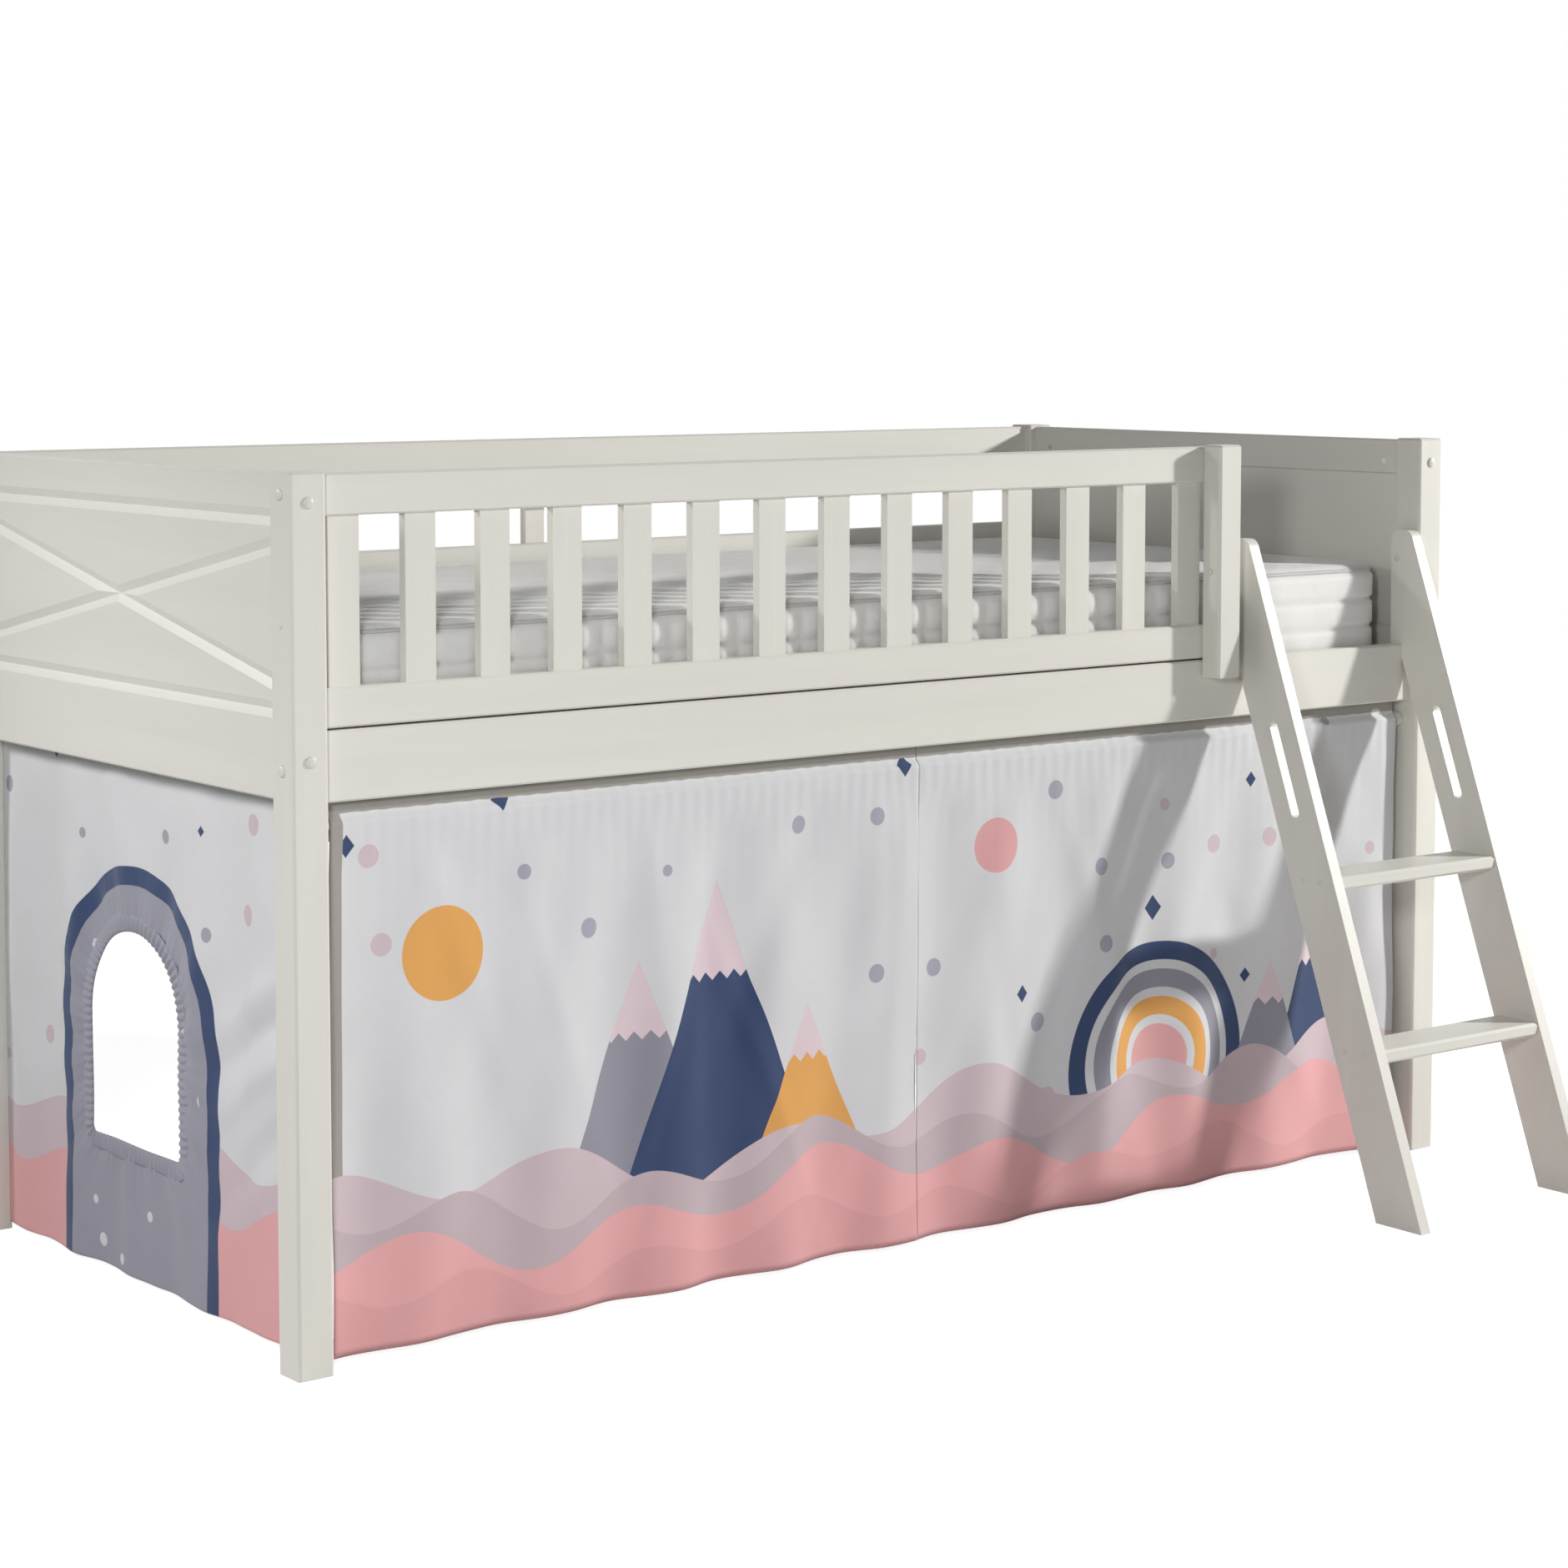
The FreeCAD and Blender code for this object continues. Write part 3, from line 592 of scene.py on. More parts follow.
def cloth_finish(name, base_of, through=1.0):
    """Printed cotton: base_of(graph, flat coordinates) gives the print, the weave gives the hand.
    On the reverse only a share of the print comes through."""
    finish = Finish(name, Sheen_Weight=0.15, Sheen_Roughness=0.5, IOR=1.4)
    flat = finish.flat()
    height, slub = finish.use(cloth_weave(), flat, CLOTH_THREAD)
    base = base_of(finish, flat)
    if through < 1:
        base = finish.mix(through, dye("ground"), base)
    mottle = finish.between(finish.noise(flat, scale=9.0, detail=3.0), 0.94, 1.03)
    yarn = finish.times(mottle, finish.between(slub, 0.965, 1.03))
    grey = finish.fill(finish.node("CombineColor"), yarn, yarn, yarn)[0]
    base = finish.mix(1.0, base, grey, "MULTIPLY")
    height = finish.plus(height, finish.times(slub, SLUB_RISE))
    return finish.surface(base, slub, height, rough=(0.80, 0.95), depth=0.0003, strength=0.5)


def ticking_finish():
    """Mattress cover: a damask of fine ribs and soft tones over a fill that spreads the light."""
    finish = Finish(
        "mattress_ticking",
        Sheen_Weight=0.25,
        Sheen_Roughness=0.4,
        Subsurface_Weight=0.75,
        Subsurface_Radius=(1.0, 1.0, 1.0),
        Subsurface_Scale=0.035,
    )
    where = finish.place()
    ribs, _ = finish.use(cloth_weave(), where, TICKING_THREAD)
    figure = finish.noise(where, scale=38, detail=3.0)
    cover = bpy.context.scene.bed_mattress.ticking
    base = finish.mix(figure, *shades(cover, dark=0.95, light=1.03))
    height = finish.plus(ribs, figure)
    return finish.surface(base, figure, height, rough=(0.6, 0.8), depth=0.0007, strength=0.4)


def scatter_on(graph, base, flat, metric, first, second, *sizes):
    """Prints scattered spots, each in one of two tones."""
    mask, pick = graph.use(print_scatter(metric), flat, *sizes)
    tone = graph.mix(graph.calc("GREATER_THAN", pick, 0.5), dye(*first), dye(*second))
    return graph.mix(mask, base, tone)


def hills_on(graph, base, across, up, rows):
    """Prints rows of hills from the far one to the near one."""
    for name, share, *hill in rows:
        base = graph.mix(graph.use(print_hills(), across, up, *hill)[0], base, dye(name, share))
    return base


def front_print(graph, flat):
    """Peaks, a sun, nested arches, spots and diamonds above rolling hills."""
    across, up, _ = graph.split(flat)
    base = scatter_on(graph, dye("ground"), flat, "EUCLIDEAN", *FRONT_SPOTS)
    tall = graph.scaled(flat, FRONT_DIAMOND_STRETCH)
    base = scatter_on(graph, base, tall, "MANHATTAN", *FRONT_DIAMONDS)
    for name, *disc in FRONT_DISCS:
        base = graph.mix(graph.use(print_disc(), across, up, *disc)[0], base, dye(name))
    for name, *peak in FRONT_PEAKS:
        mask, tip = graph.use(print_peak(), across, up, PEAK_FOOT, *peak)
        base = graph.mix(mask, base, dye(name))
        base = graph.mix(tip, base, dye(*PEAK_TIP))
    # Painted shade: a dark band along the top of the cloth and down its edge by the left post, in place
    # of the shadow that the rail and the post cast
    under = graph.step(graph.minus(RAIL_SHADE_HEIGHT, up))
    beside = graph.step(graph.minus(across, POST_SHADE_WIDTH))
    base = graph.mix(graph.times(under, beside), dye("tape"), base)
    return hills_on(graph, base, across, up, FRONT_HILLS)


def end_print(graph, flat):
    """Hills and spots beside a plain grey surround with a navy border, arched as the window is."""
    across, up, _ = graph.split(flat)
    base = scatter_on(graph, dye("ground"), flat, "EUCLIDEAN", *END_SPOTS)
    base = scatter_on(graph, base, flat, "MANHATTAN", *END_DIAMONDS)
    base = hills_on(graph, base, across, up, END_HILLS)
    middle = WINDOW_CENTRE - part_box("curtain_end_left")[0].y
    side = graph.calc("ABSOLUTE", graph.minus(across, middle))
    low = graph.calc("LESS_THAN", up, SURROUND_SPRING)
    for name, share, half in SURROUND:
        arch = graph.use(print_disc(), across, up, middle, SURROUND_SPRING, half)[0]
        wall = graph.times(graph.step(graph.minus(half, side)), low)
        base = graph.mix(graph.calc("MAXIMUM", arch, wall), base, dye(name, share))
    inside = graph.step(graph.minus(SURROUND_SPOTS_HALF, side))
    spots = graph.use(print_scatter("EUCLIDEAN"), flat, *SURROUND_SPOTS)[0]
    below = graph.calc("LESS_THAN", up, SURROUND_SPOTS_TOP)
    return graph.mix(graph.times(graph.times(spots, inside), below), base, dye("ground"))


def edging_print(graph, flat):
    """Plain grey cloth, a little uneven."""
    return graph.mix(graph.noise(flat, scale=20), *shades(dye("grey", 1.15), dark=0.94, light=1.06))


def grid_faces(rows, columns, wrap):
    """Quads that join a grid of points; wrap closes it along the rows or along the columns."""
    i = np.arange(rows if wrap[0] else rows - 1)[:, None]
    j = np.arange(columns if wrap[1] else columns - 1)[None, :]
    ahead = (i + 1) % rows * columns
    beside = (j + 1) % columns
    corners = (i * columns + j, ahead + j, ahead + beside, i * columns + beside)
    return np.stack(np.broadcast_arrays(*corners), axis=-1).reshape(-1, 4)


def make_piece(name, points, material, body, flat=None, wrap=(False, False)):
    """A piece from an array of grid points, rows by columns by 3, with flat coordinates if given."""
    faces = grid_faces(*points.shape[:2], wrap)
    flat = None if flat is None else flat.reshape(-1, 2)
    return make_mesh(name, points.reshape(-1, 3), faces, material, body, flat)


def make_mesh(name, points, faces, material, body, flat=None):
    mesh = bpy.data.meshes.new(name)
    mesh.vertices.add(len(points))
    mesh.vertices.foreach_set("co", points.astype(np.float32).ravel())
    mesh.loops.add(faces.size)
    mesh.loops.foreach_set("vertex_index", faces.astype(np.int32).ravel())
    mesh.polygons.add(len(faces))
    starts = np.arange(0, faces.size, faces.shape[1], dtype=np.int32)
    mesh.polygons.foreach_set("loop_start", starts)
    if flat is not None:
        layer = mesh.uv_layers.new(name="flat")
        layer.data.foreach_set("uv", flat[faces.ravel()].astype(np.float32).ravel())
    mesh.update(calc_edges=True)
    mesh.validate()
    mesh.shade_smooth()
    mesh.materials.append(material)
    piece = bpy.data.objects.new(name, mesh)
    bpy.context.scene.collection.objects.link(piece)
    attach(piece, body)
    return piece


def thicken(piece, thick, reverse):
    """Gives a sheet its thickness, half to each side, and its reverse."""
    piece.data.materials.append(reverse)
    wall = piece.modifiers.new("thickness", "SOLIDIFY")
    wall.thickness = thick
    wall.offset = 0
    wall.material_offset = 1


def close_poles(piece):
    """Joins the points that meet at a pole or a seam, and turns the faces outward."""
    work = bmesh.new()
    work.from_mesh(piece.data)
    bmesh.ops.remove_doubles(work, verts=work.verts, dist=TOUCH)
    bmesh.ops.dissolve_degenerate(work, edges=work.edges, dist=TOUCH)
    bmesh.ops.recalc_face_normals(work, faces=work.faces)
    work.to_mesh(piece.data)
    work.free()


def solids_of(node):
    """The middle and the size of each separate solid in a node of small like pieces."""
    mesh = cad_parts[node].data
    points = np.zeros(len(mesh.vertices) * 3, np.float32)
    mesh.vertices.foreach_get("co", points)
    points = points.reshape(-1, 3).astype(float)
    found = []
    while len(points):
        near = np.linalg.norm(points - points[0], axis=1) < CAP_REACH
        low, high = points[near].min(0), points[near].max(0)
        found.append(((low + high) / 2, high - low))
        points = points[~near]
    return found


def domes(node, body, inside, flatness, material):
    """A round cap in place of each solid of a node, facing away from the middle of the node inside:
    radius times a power of the sine and rise times the cosine of one angle, carried round, with a
    short straight rim below and a flat back."""
    around = np.linspace(0, TURN, CAP_SIDES, endpoint=False)[:, None]
    lift = np.linspace(0, QUARTER, CAP_RINGS)
    radial = np.concatenate([np.sin(lift) ** flatness, [1.0, 0.0]])[None, :]
    rise = np.concatenate([CAP_RIM + (1 - CAP_RIM) * np.cos(lift), [0.0, 0.0]])[None, :]
    columns = radial.shape[1]
    quads = grid_faces(CAP_SIDES, columns, (True, False))[:, [0, 3, 2, 1]]
    low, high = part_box(inside)
    points, faces = [], []
    for middle, size in solids_of(node):
        axis = int(np.argmin(size))
        side = np.sign(middle[axis] - (low[axis] + high[axis]) / 2)
        radius = np.delete(size, axis).max() / 2
        first, second = [k for k in range(3) if k != axis]
        grid = np.zeros((CAP_SIDES, columns, 3))
        grid[..., first] = middle[first] + radius * radial * np.cos(around)
        grid[..., second] = middle[second] + radius * radial * np.sin(around)
        grid[..., axis] = middle[axis] + side * (rise - 0.5) * size[axis]
        turned = (axis == 1) != (side < 0)
        corners = quads + len(points) * CAP_SIDES * columns
        faces.append(corners[:, ::-1] if turned else corners)
        points.append(grid.reshape(-1, 3))
    points, faces = np.concatenate(points), np.concatenate(faces)
    piece = make_mesh(node + "_domes", points, faces, material, body)
    close_poles(piece)
    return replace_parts(piece, node)


def ramp(value, over, least=0.0, power=1):
    """Rises from least to 1 while value goes from 0 to over, by a power of the share covered."""
    return least + (1 - least) * np.clip(value / over, 0, 1) ** power


def swell(off, wide):
    """A smooth rise to 1 where off is 0: exp of minus the square of off over wide."""
    return np.exp(-((off / wide) ** 2))


def ripples(s, rise, count, lead):
    """A sine that runs through count turns while s goes from 0 to 1."""
    return rise * np.sin(TURN * count * s + lead)


def curve_lengths(points):
    """Running length along an array of points."""
    return np.concatenate([[0], np.cumsum(np.linalg.norm(np.diff(points, axis=0), axis=1))])


def even_steps(loop, count):
    """Points at even steps along a closed line, their running lengths and the whole length."""
    run = curve_lengths(loop)
    at = np.linspace(0, run[-1], count, endpoint=False)
    return np.stack([np.interp(at, run, axis) for axis in loop.T], axis=1), at, run[-1]


def rounded_outline(half_x, half_y, radius, count):
    """A rectangle with round corners: points at even steps, outward normals, lengths, the whole."""
    inner = np.array([half_x - radius, half_y - radius])
    arc = np.linspace(0, QUARTER, 24)
    legs = []
    for k, signs in enumerate(((1, 1), (-1, 1), (-1, -1), (1, -1))):
        angle = arc + k * QUARTER
        legs.append(signs * inner + radius * np.stack([np.cos(angle), np.sin(angle)], axis=1))
    points, at, whole = even_steps(np.concatenate(legs + [legs[0][:1]]), count)
    normals = points - np.clip(points, -inner, inner)
    normals /= np.linalg.norm(normals, axis=1)[:, None]
    return points, normals, at, whole


class BED_OT_wood(bpy.types.Operator):
    """Paint the posts, rails, guard and ladder, and finish the bare slats and small fittings"""

    bl_idname = "bed.wood"
    bl_label = "Wood and fittings"

    def execute(self, context):
        wood = context.scene.bed_wood
        hook_tapes = ["curtain_tape_" + side for side in SIDES]
        finishes = [(nodes, painted_finish(axis)) for axis, nodes in PAINTED.items()]
        finishes += [(nodes, pine_finish(axis)) for axis, nodes in PINE.items()]
        finishes += [
            (STEEL, steel_finish()),
            (["rod_sockets"], moulded_finish("socket_plastic", rough=(0.35, 0.50))),
            (["curtain_rod"], moulded_finish("rod_coat", rough=(0.25, 0.40))),
            (["slat_webbing"], woven_finish("webbing_weave", wood.webbing, thread=0.004)),
            (hook_tapes, woven_finish("tape_loops", wood.hook_tape, thread=0.002)),
        ]
        for nodes, material in finishes:
            for node in nodes:
                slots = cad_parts[node].data.materials
                slots.clear()
                slots.append(material)
        return {"FINISHED"}


class BED_OT_caps(bpy.types.Operator):
    """Make the domed caps over the bolts and the flat caps and plugs"""

    bl_idname = "bed.caps"
    bl_label = "Caps and plugs"

    def execute(self, context):
        material = moulded_finish("cap_plastic", rough=(0.30, 0.45))
        for cap in CAPS:
            domes(*cap, material)
        return {"FINISHED"}


class BED_OT_mattress(bpy.types.Operator):
    """Make the quilted mattress with puffs on its border and piping on its edges"""

    bl_idname = "bed.mattress"
    bl_label = "Mattress"

    def execute(self, context):
        look = context.scene.bed_mattress
        low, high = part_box("mattress")
        middle = ((np.array(low) + np.array(high)) / 2)[:2]
        foot, top = low.z, high.z - CROWN
        half = (np.array(high) - np.array(low))[:2] / 2 - PUFF_ROOM
        outline, normals, run, around = rounded_outline(*half, CORNER_RADIUS, OUTLINE_POINTS)
        reach = half[0] - half[1]
        core = np.stack([np.clip(outline[:, 0], -reach, reach), 0 * outline[:, 1]], axis=1)
        share, inset, height = self.profile(foot, top)
        on_side = np.clip((height - foot - EDGE_RADIUS) / (top - foot - 2 * EDGE_RADIUS), 0, 1)
        puffs = round(around / look.puff_pitch)
        beat = np.abs(np.sin(math.pi * run * puffs / around))[:, None]
        stack = np.abs(np.sin(math.pi * PUFF_ROWS * on_side))[None, :]
        calm = 1 - BAND_SHARE * ramp(np.abs(outline[:, :1]) - BAND_FROM, over=0.12)
        swelling = (beat * stack) ** PUFF_POWER * calm + (1 - calm) * BAND_RISE
        puff = look.puff_rise * swelling * (stack > TOUCH)
        rest = 1 - share
        flat = outline[:, None, :] * rest[None, :, None] + core[:, None, :] * share[None, :, None]
        flat = flat + normals[:, None, :] * (puff - inset[None, :] * rest[None, :])[..., None]
        points = np.empty(flat.shape[:2] + (3,))
        points[..., :2] = flat + middle
        # Crown as 1 - (1 - share) squared, quilting as the product of two slanted sines, still at
        # the edge
        on_top = height >= top - TOUCH
        rise = np.where(on_top, 1 - rest ** 2, 0)[None, :] * CROWN * CROWN_SHARE
        slant_a = np.sin(math.pi * (flat[..., 0] + flat[..., 1]) / look.quilt_pitch)
        slant_b = np.sin(math.pi * (flat[..., 0] - flat[..., 1]) / look.quilt_pitch)
        quilt = np.abs(slant_a * slant_b) * look.quilt_rise
        still = np.where(on_top, ramp(share, over=0.10), 0)[None, :]
        points[..., 2] = height[None, :] + rise + quilt * still
        ticking = ticking_finish()
        piece = make_piece(
            "mattress_quilted", points, ticking, "mattress", wrap=(True, False)
        )
        close_poles(piece)
        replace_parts(piece, "mattress")
        path = outline[::2] + middle
        inner = EDGE_RADIUS * PIPING_PLACE
        self.piping("mattress_piping_top", path, normals[::2], top - inner, ticking)
        self.piping("mattress_piping_base", path, normals[::2], foot + inner, ticking)
        return {"FINISHED"}

    def profile(self, foot, top):
        """Rows from the middle of the base, up the side to the middle of the top: share of the way
        to the middle line, inset from the outline, and height."""
        turn = np.linspace(0, QUARTER, 6)
        under = np.linspace(1, 0, 4) ** 0.7
        side = np.linspace(foot + EDGE_RADIUS, top - EDGE_RADIUS, 22)[1:-1]
        over = np.linspace(0, 1, 34)[1:]
        lower, upper = EDGE_RADIUS * (1 - np.cos(turn)), EDGE_RADIUS * np.sin(turn)
        rows = (
            (under * (1 - BASE_SHARE) + BASE_SHARE, 0 * under + EDGE_RADIUS, 0 * under + foot),
            (0 * turn, EDGE_RADIUS * (1 - np.sin(turn)), foot + lower),
            (0 * side, 0 * side, side),
            (0 * turn, lower, top - EDGE_RADIUS + upper),
            (over, 0 * over + EDGE_RADIUS, 0 * over + top),
        )
        return [np.concatenate(column) for column in zip(*rows)]

    def piping(self, name, path, out, z, material):
        """A small circle carried round the outline."""
        ring = np.linspace(0, TURN, 9)[:-1]
        aside = PIPING_RADIUS * np.cos(ring) - PIPING_SINK
        tube = np.empty((len(path), len(ring), 3))
        tube[..., :2] = path[:, None, :] + out[:, None, :] * aside[None, :, None]
        tube[..., 2] = z + PIPING_RADIUS * np.sin(ring)[None, :]
        make_piece(name, tube, material, "mattress", wrap=(True, True))


def front_profile(foot, heading):
    """The line that a front curtain follows from its turned-up hem, up in front of the rod into a
    standing heading, and down behind the rod to a seam: offsets to the rear and heights."""
    pocket = ROD_RADIUS + POCKET_EASE
    seam = ROD_Z - pocket - SEAM_DROP
    top = ROD_Z + pocket + heading
    bend = seam - 0.02
    rise = np.concatenate([np.linspace(foot, bend, 64)[:-1], np.linspace(bend, top, 34)])
    hang = ramp(rise - ROD_Z + HANG_OVER, HANG_OVER, least=0.62, power=2)
    stitched = 0.5 + 0.5 * np.cos(math.pi * ramp(rise - ROD_Z, pocket + 0.004))
    ahead = -pocket * hang * stitched
    turned_up = np.linspace(foot + HEM, foot + HEM_TURN, 5)
    back_hem = np.stack([0 * turned_up + (ahead[0] + CLOTH_LAP), turned_up], axis=1)
    face = np.stack([ahead, rise], axis=1)
    fall = np.linspace(top, seam, 30)
    behind = np.clip(pocket ** 2 - (fall - ROD_Z) ** 2, 0, None) ** 0.5
    under = ramp(ROD_Z - fall, pocket + SEAM_DROP, power=2)
    depth = np.maximum(behind, CLOTH_LAP) - (pocket * hang[0] * FALL_BACK) * under
    depth = np.maximum(depth, np.interp(fall, rise, ahead) + CLOTH_LAP)
    return np.concatenate([back_hem, face, np.stack([depth, fall], axis=1)])


def hanging_folds(s, below, look, seed, swing=1.0):
    """Depth of the cloth's folds: even waves that grow towards the hem, small pleats that die away
    below the top, slow slack between them, and slanting folds drawn by tension."""
    draw = np.random.default_rng(seed)
    lead = draw.uniform(0, TURN, 8)

    def wave(along, down, k):
        return np.sin(TURN * (along * s + down * below) + lead[k])

    grow = ramp(below, over=0.42, least=0.22, power=0.8)
    main = np.sin(TURN * FOLDS * s + FOLD_DRIFT * wave(1.5, 0, 0))
    pleats = sum(wave(n, 0, k + 1) / (1 + k * 0.4) for k, n in enumerate(PLEATS))
    slack = wave(1.7, 0.9, 4) + 0.8 * wave(4.3, -2.1, 5)
    small = wave(9.3, 3.2, 6) * wave(2.1, -1.3, 7)
    starts = draw.uniform(0, 1, PULLS)
    leans = draw.uniform(-0.55, 0.55, PULLS)
    widths = draw.uniform(0.018, 0.040, PULLS)
    places = draw.uniform(0.02, 0.45, PULLS)
    signs = draw.choice((-1.0, 1.0), PULLS)
    drawn = sum(
        sign * swell(s - start - lean * below, wide) * swell(below - place, wide=0.22)
        for start, lean, wide, place, sign in zip(starts, leans, widths, places, signs)
    )
    waves = look.fold * swing * grow * main + SLACK_RISE * slack * grow + CREASE_RISE * small
    return waves + look.gather * pleats * np.exp(-below / PLEAT_DEPTH) + look.tension * drawn


class BED_OT_front_curtains(bpy.types.Operator):
    """Hang the two front curtains on the rod, each gathered on a stitched pocket"""

    bl_idname = "bed.front_curtains"
    bl_label = "Front curtains"

    def execute(self, context):
        look = context.scene.bed_cloth
        material = cloth_finish("front_curtain_print", front_print)
        reverse = cloth_finish("front_curtain_reverse", front_print, REVERSE_SHARE)
        for seed, side in enumerate(SIDES):
            node = "curtain_front_" + side
            low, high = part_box(node)
            outer, inner = look.side_hem, look.meeting
            low.x -= outer if side == "left" else inner
            high.x += inner if side == "left" else outer
            profile = front_profile(low.z, look.heading)
            s = np.linspace(0, 1, FRONT_COLUMNS)[:, None]
            height = profile[None, :, 1]
            below = np.clip(ROD_Z - ROD_RADIUS - POCKET_DROP - height, 0, None)
            loose = ramp(below, over=0.05)
            depth = hanging_folds(s, below, look, FRONT_SEED + seed)
            ripple = ripples(s, rise=0.0003, count=43, lead=1.3 * seed)
            frill = ripples(s, rise=0.0004, count=31, lead=seed)
            points = np.empty((len(s), len(profile), 3))
            points[..., 0] = low.x + (high.x - low.x) * s
            points[..., 1] = ROD_Y + profile[None, :, 0] + ripple * (1 - loose) + depth * loose
            points[..., 2] = height + frill * ramp(height - ROD_Z, SEAM_DROP)
            flat = np.empty(points.shape[:2] + (2,))
            flat[..., 0] = points[..., 0] - BED_LEFT
            flat[..., 1] = (curve_lengths(profile) - PRINT_START)[None, :]
            body = "front_" + side + "_curtain"
            piece = make_piece(
                "front_curtain_" + side, points, material, body, flat
            )
            thicken(piece, look.thick, reverse)
            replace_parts(piece, node)
            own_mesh(piece)
        return {"FINISHED"}


def window_outline(count, grow):
    """Points at even steps round the arched window, anticlockwise from its middle foot, grown outward:
    a half circle on straight sides with small round corners at the foot. Also its whole length."""
    half = WINDOW_WIDTH / 2 + grow
    foot = WINDOW_FOOT - grow
    spring = WINDOW_FOOT + WINDOW_HEIGHT - WINDOW_WIDTH / 2
    arc = np.linspace(0, math.pi, 90)
    turn = np.linspace(-QUARTER, 0, 14)
    inner = (half - WINDOW_CORNER, foot + WINDOW_CORNER)
    right = inner + WINDOW_CORNER * np.stack([np.cos(turn), np.sin(turn)], axis=1)
    arch = np.stack([half * np.cos(arc), spring + half * np.sin(arc)], axis=1)
    left = right[::-1] * (-1, 1)
    loop = np.concatenate([[[0, foot]], right, arch, left, [[0, foot]]])
    points, _, whole = even_steps(loop, count)
    return points, whole


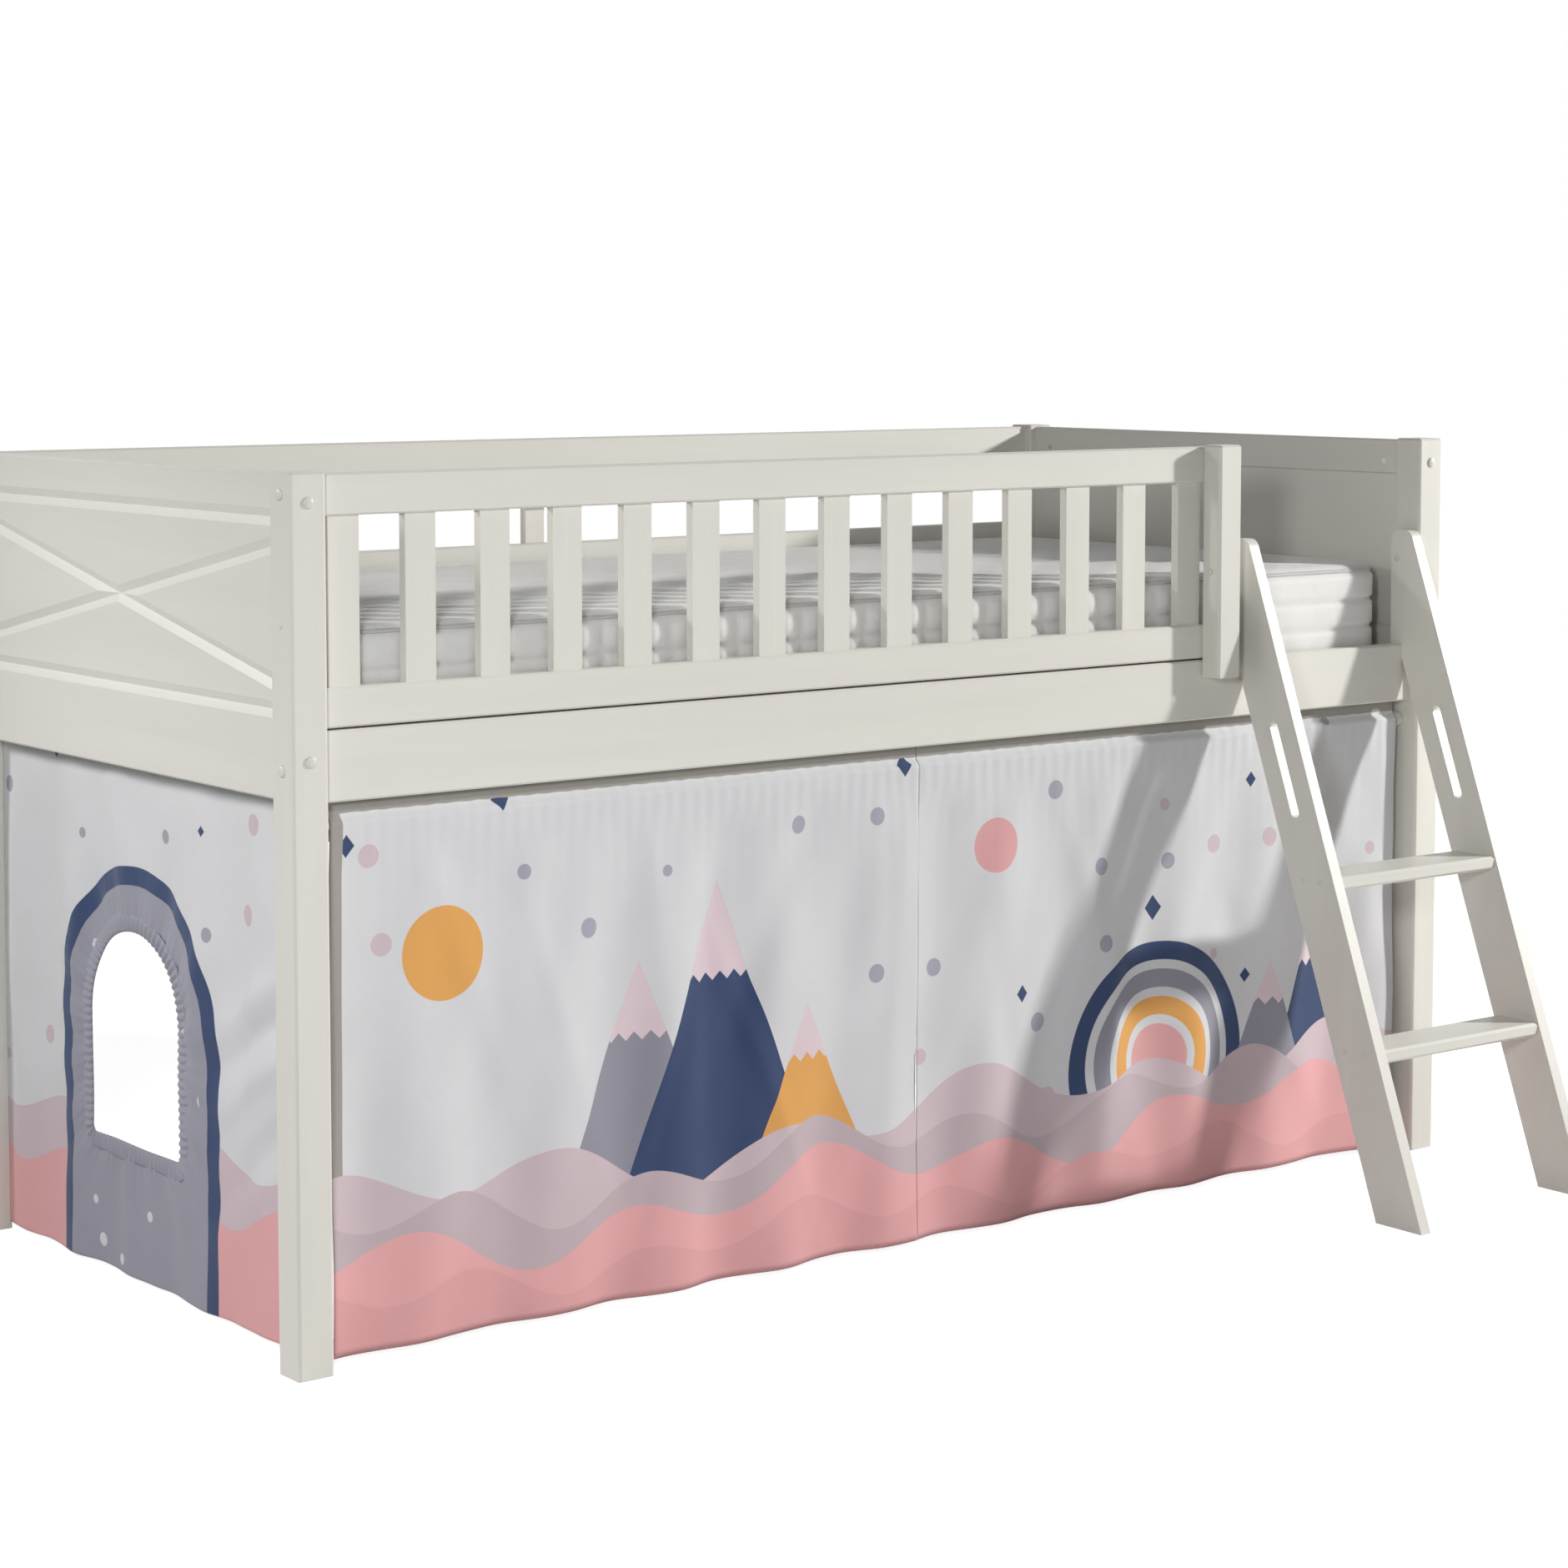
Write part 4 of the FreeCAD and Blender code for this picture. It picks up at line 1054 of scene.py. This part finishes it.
class BED_OT_end_curtains(bpy.types.Operator):
    """Hang the two end curtains on their tapes, with gathered edging round the arched windows"""

    bl_idname = "bed.end_curtains"
    bl_label = "End curtains"

    def execute(self, context):
        look = context.scene.bed_cloth
        material = cloth_finish("end_curtain_print", end_print)
        reverse = cloth_finish("end_curtain_reverse", end_print, REVERSE_SHARE)
        edging_cloth = cloth_finish("window_edging", edging_print)
        for seed, side in enumerate(SIDES):
            node = "curtain_end_" + side
            low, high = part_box(node)
            low.y -= look.end_hem
            high.y += look.end_hem
            hang = (low, high, look, END_SEED + seed)
            inward = 1 if side == "left" else -1
            plane = (low.x + high.x) / 2
            hole, _ = window_outline(count=420, grow=0.002)
            edge = self.outer_edge(hole, low, high)
            reach = np.linspace(0, 1, SHEET_ROWS)[None, :, None] ** SHEET_ROW_POWER
            sheet = hole[:, None, :] + (edge - hole)[:, None, :] * reach
            across = sheet[..., 0] + WINDOW_CENTRE
            up = sheet[..., 1]
            off = np.linalg.norm(sheet - hole[:, None, :], axis=2)
            depth = self.depth(across, up, off, *hang)
            points = np.stack([plane + inward * depth, across, up], axis=-1)
            flat = np.stack([across - low.y, up - low.z], axis=-1)
            points, flat = points[::inward], flat[::inward]
            name = "end_curtain_" + side
            piece = make_piece(
                name, points, material, "frame", flat, wrap=(True, False)
            )
            thicken(piece, look.thick, reverse)
            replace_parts(piece, node)
            edging = self.edging(name + "_edging", plane, inward, edging_cloth, hang)
        return {"FINISHED"}

    def depth(self, across, up, off, low, high, look, seed):
        """How far the cloth stands in: the hanging folds, calmed near the window and the posts, and
        folds that run out from the window's edge and die away with the distance off it."""
        s = (across - low.y) / (high.y - low.y)
        below = np.clip(high.z - END_TOP - up, 0, None)
        turn = np.linspace(0, 1, len(across), endpoint=False)[:, None]
        calm = ramp(off, over=0.06, least=0.35)
        held = ramp(np.minimum(s, 1 - s), over=0.045, least=0.15)
        swing = look.end_swing * (1 + SWING_MORE * swell(below - SWING_AT, wide=0.16))
        hung = hanging_folds(s, below, look, seed, swing) + self.swags(across - low.y, up)
        total = hung * calm * held
        for count, lead, rise, reach, full in WINDOW_FOLDS:
            rays = np.cos(TURN * count * turn + lead) * rise
            total = total + rays * np.exp(-off / reach) * ramp(off, full)
        return total

    def swags(self, run, up):
        """Slanting folds between the front edge and the window's foot: smooth ridges, each along a line
        that falls towards the rear, strongest midway."""
        ridges = sum(deep * swell(up - start - slope * run, wide) for start, slope, wide, deep in SWAGS)
        return swell(run - SWAG_AT, wide=0.11) * ridges

    def outer_edge(self, hole, low, high):
        """Where a ray from the window's middle through each of its points meets the cloth's edge;
        the rays nearest a corner go to the corner itself."""
        middle = np.array([0, WINDOW_FOOT + WINDOW_HEIGHT * WINDOW_EYE])
        ray = hole - middle
        ray = ray / np.linalg.norm(ray, axis=1)[:, None]
        left, right = low.y - WINDOW_CENTRE, high.y - WINDOW_CENTRE
        with np.errstate(divide="ignore"):
            sideways = np.where(ray[:, 0] > 0, right, left) / ray[:, 0]
            upward = np.where(ray[:, 1] > 0, high.z - middle[1], low.z - middle[1]) / ray[:, 1]
        edge = middle + ray * np.minimum(np.abs(sideways), np.abs(upward))[:, None]
        for corner in ((left, low.z), (right, low.z), (right, high.z), (left, high.z)):
            edge[np.argmin(np.linalg.norm(edge - corner, axis=1))] = corner
        return edge

    def edging(self, name, plane, inward, material, hang):
        """A gathered band round the window: a flat oval carried along its outline, its thickness
        beating with the gathers and its width a little uneven."""
        line, around = window_outline(EDGING_POINTS, grow=0.008)
        ahead = np.roll(line, -1, axis=0) - np.roll(line, 1, axis=0)
        out = np.stack([ahead[:, 1], -ahead[:, 0]], axis=1)
        out /= np.linalg.norm(out, axis=1)[:, None]
        oval = np.linspace(0, TURN, 15)[:-1][None, :]
        step = np.arange(EDGING_POINTS)[:, None]
        gathers = round(around / EDGING_PITCH)
        beat = np.cos(TURN * gathers * step / EDGING_POINTS)
        uneven = np.sin(TURN * EDGING_UNEVEN_WAVES * step / EDGING_POINTS)
        sideways = (EDGING_HALF_WIDTH + EDGING_UNEVEN * uneven) * np.cos(oval)
        thick = (EDGING_HALF_THICK + EDGING_GATHER * beat) * np.sin(oval)
        across, up = WINDOW_CENTRE + line[:, :1], line[:, 1:]
        middle = self.depth(across, up, 0 * up, *hang)
        points = np.empty((EDGING_POINTS, oval.shape[1], 3))
        points[..., 0] = plane + inward * (middle - thick - EDGING_SWAY * beat)
        points[..., 1] = across + out[:, :1] * sideways
        points[..., 2] = up + out[:, 1:] * sideways
        flat = np.empty(points.shape[:2] + (2,))
        flat[..., 0] = around * step / EDGING_POINTS
        flat[..., 1] = EDGING_FLAT_WIDTH * oval / TURN
        piece = make_piece(
            name, points, material, "frame", flat, wrap=(True, True)
        )
        close_poles(piece)
        return piece


def seen_rays(graph):
    """1 for the rays that show the background: seen directly, in a gloss or through glass."""
    rays = graph.node("LightPath").outputs
    mirrored = graph.calc("MAXIMUM", rays["Is Glossy Ray"], rays["Is Transmission Ray"])
    return graph.calc("MAXIMUM", rays["Is Camera Ray"], mirrored)


class BED_OT_stage(bpy.types.Operator):
    """Set the floor, the lamps and the camera"""

    bl_idname = "bed.stage"
    bl_label = "Floor, lamps and camera"

    def execute(self, context):
        scene = context.scene
        stage = scene.bed_stage
        self.floor(scene, stage)
        self.lamps(scene, stage)
        self.sky(scene, stage)
        camera = bpy.data.cameras.new("camera")
        camera.lens = stage.lens
        camera.sensor_width = SENSOR_WIDTH
        camera.shift_y = CAMERA_SHIFT
        camera.clip_end = FAR_CLIP
        viewer = bpy.data.objects.new("camera", camera)
        viewer.location = CAMERA_PLACE
        viewer.rotation_euler = (math.radians(90 - CAMERA_DOWN), 0, math.radians(CAMERA_YAW))
        scene.collection.objects.link(viewer)
        scene.camera = viewer
        scene.view_settings.view_transform = "Standard"
        return {"FINISHED"}

    def floor(self, scene, stage):
        """A wide level floor that glows only for the rays that show it, so that it looks white."""
        finish = Finish("studio_floor", Roughness=0.9)
        cloud = finish.noise(finish.place(), scale=0.6)
        finish.fill(
            finish.shader,
            Base_Color=finish.mix(cloud, *shades(stage.floor, dark=0.99, light=1.0)),
            Emission_Color=WHITE,
            Emission_Strength=finish.times(seen_rays(finish), FLOOR_GLOW),
        )
        side = np.linspace(-FLOOR_HALF, FLOOR_HALF, FLOOR_POINTS)
        points = np.stack(np.meshgrid(side, side, [0.0], indexing="ij"), axis=-1).reshape(-1, 3)
        faces = grid_faces(FLOOR_POINTS, FLOOR_POINTS, (False, False))
        mesh = bpy.data.meshes.new("floor")
        mesh.from_pydata(points.tolist(), [], faces.tolist())
        mesh.materials.append(finish.material)
        ground = bpy.data.objects.new("floor", mesh)
        scene.collection.objects.link(ground)

    def lamps(self, scene, stage):
        for name, size, spread, tint, place, aim in LAMPS:
            lamp = bpy.data.lights.new(name, "AREA")
            lamp.energy = getattr(stage, name)
            lamp.size = size
            lamp.spread = math.radians(spread)
            lamp.color = tint
            holder = bpy.data.objects.new(name, lamp)
            holder.location = place
            holder.rotation_euler = (Vector(aim) - Vector(place)).to_track_quat("-Z", "Y").to_euler()
            scene.collection.objects.link(holder)

    def sky(self, scene, stage):
        """A dim even light all round that shows as white."""
        world = bpy.data.worlds.new("studio")
        world.use_nodes = True
        graph = Graph(world.node_tree)
        back = world.node_tree.nodes["Background"]
        strength = graph.between(seen_rays(graph), stage.sky, 1.0)
        graph.fill(back, Color=WHITE, Strength=strength)
        scene.world = world


class BED_PT_panel(bpy.types.Panel):
    """Lists the steps and sizes of the bed"""

    bl_idname = "BED_PT_panel"
    bl_label = "Mid sleeper bed"
    bl_space_type = "VIEW_3D"
    bl_region_type = "UI"
    bl_category = "Bed"

    def draw(self, context):
        for group, names in SETTINGS.items():
            box = self.layout.box()
            for name in names.__annotations__:
                box.prop(getattr(context.scene, group), name)
        for step in STEPS:
            self.layout.operator(step.bl_idname)


SETTINGS = {
    "bed_wood": BedWoodSettings,
    "bed_cloth": BedClothSettings,
    "bed_mattress": BedMattressSettings,
    "bed_stage": BedStageSettings,
}
STEPS = (
    BED_OT_wood, BED_OT_caps, BED_OT_mattress, BED_OT_front_curtains, BED_OT_end_curtains, BED_OT_stage,
)


def register():
    for part in (*SETTINGS.values(), *STEPS, BED_PT_panel):
        bpy.utils.register_class(part)
    for name, group in SETTINGS.items():
        setattr(bpy.types.Scene, name, bpy.props.PointerProperty(type=group))


def unregister():
    for name in SETTINGS:
        delattr(bpy.types.Scene, name)
    for part in (BED_PT_panel, *reversed(STEPS), *reversed(SETTINGS.values())):
        bpy.utils.unregister_class(part)


def main():
    register()
    bpy.ops.bed.wood()
    bpy.ops.bed.caps()
    bpy.ops.bed.mattress()
    bpy.ops.bed.front_curtains()
    bpy.ops.bed.end_curtains()
    bpy.ops.bed.stage()
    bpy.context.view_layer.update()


if __name__ == "__main__":
    main()
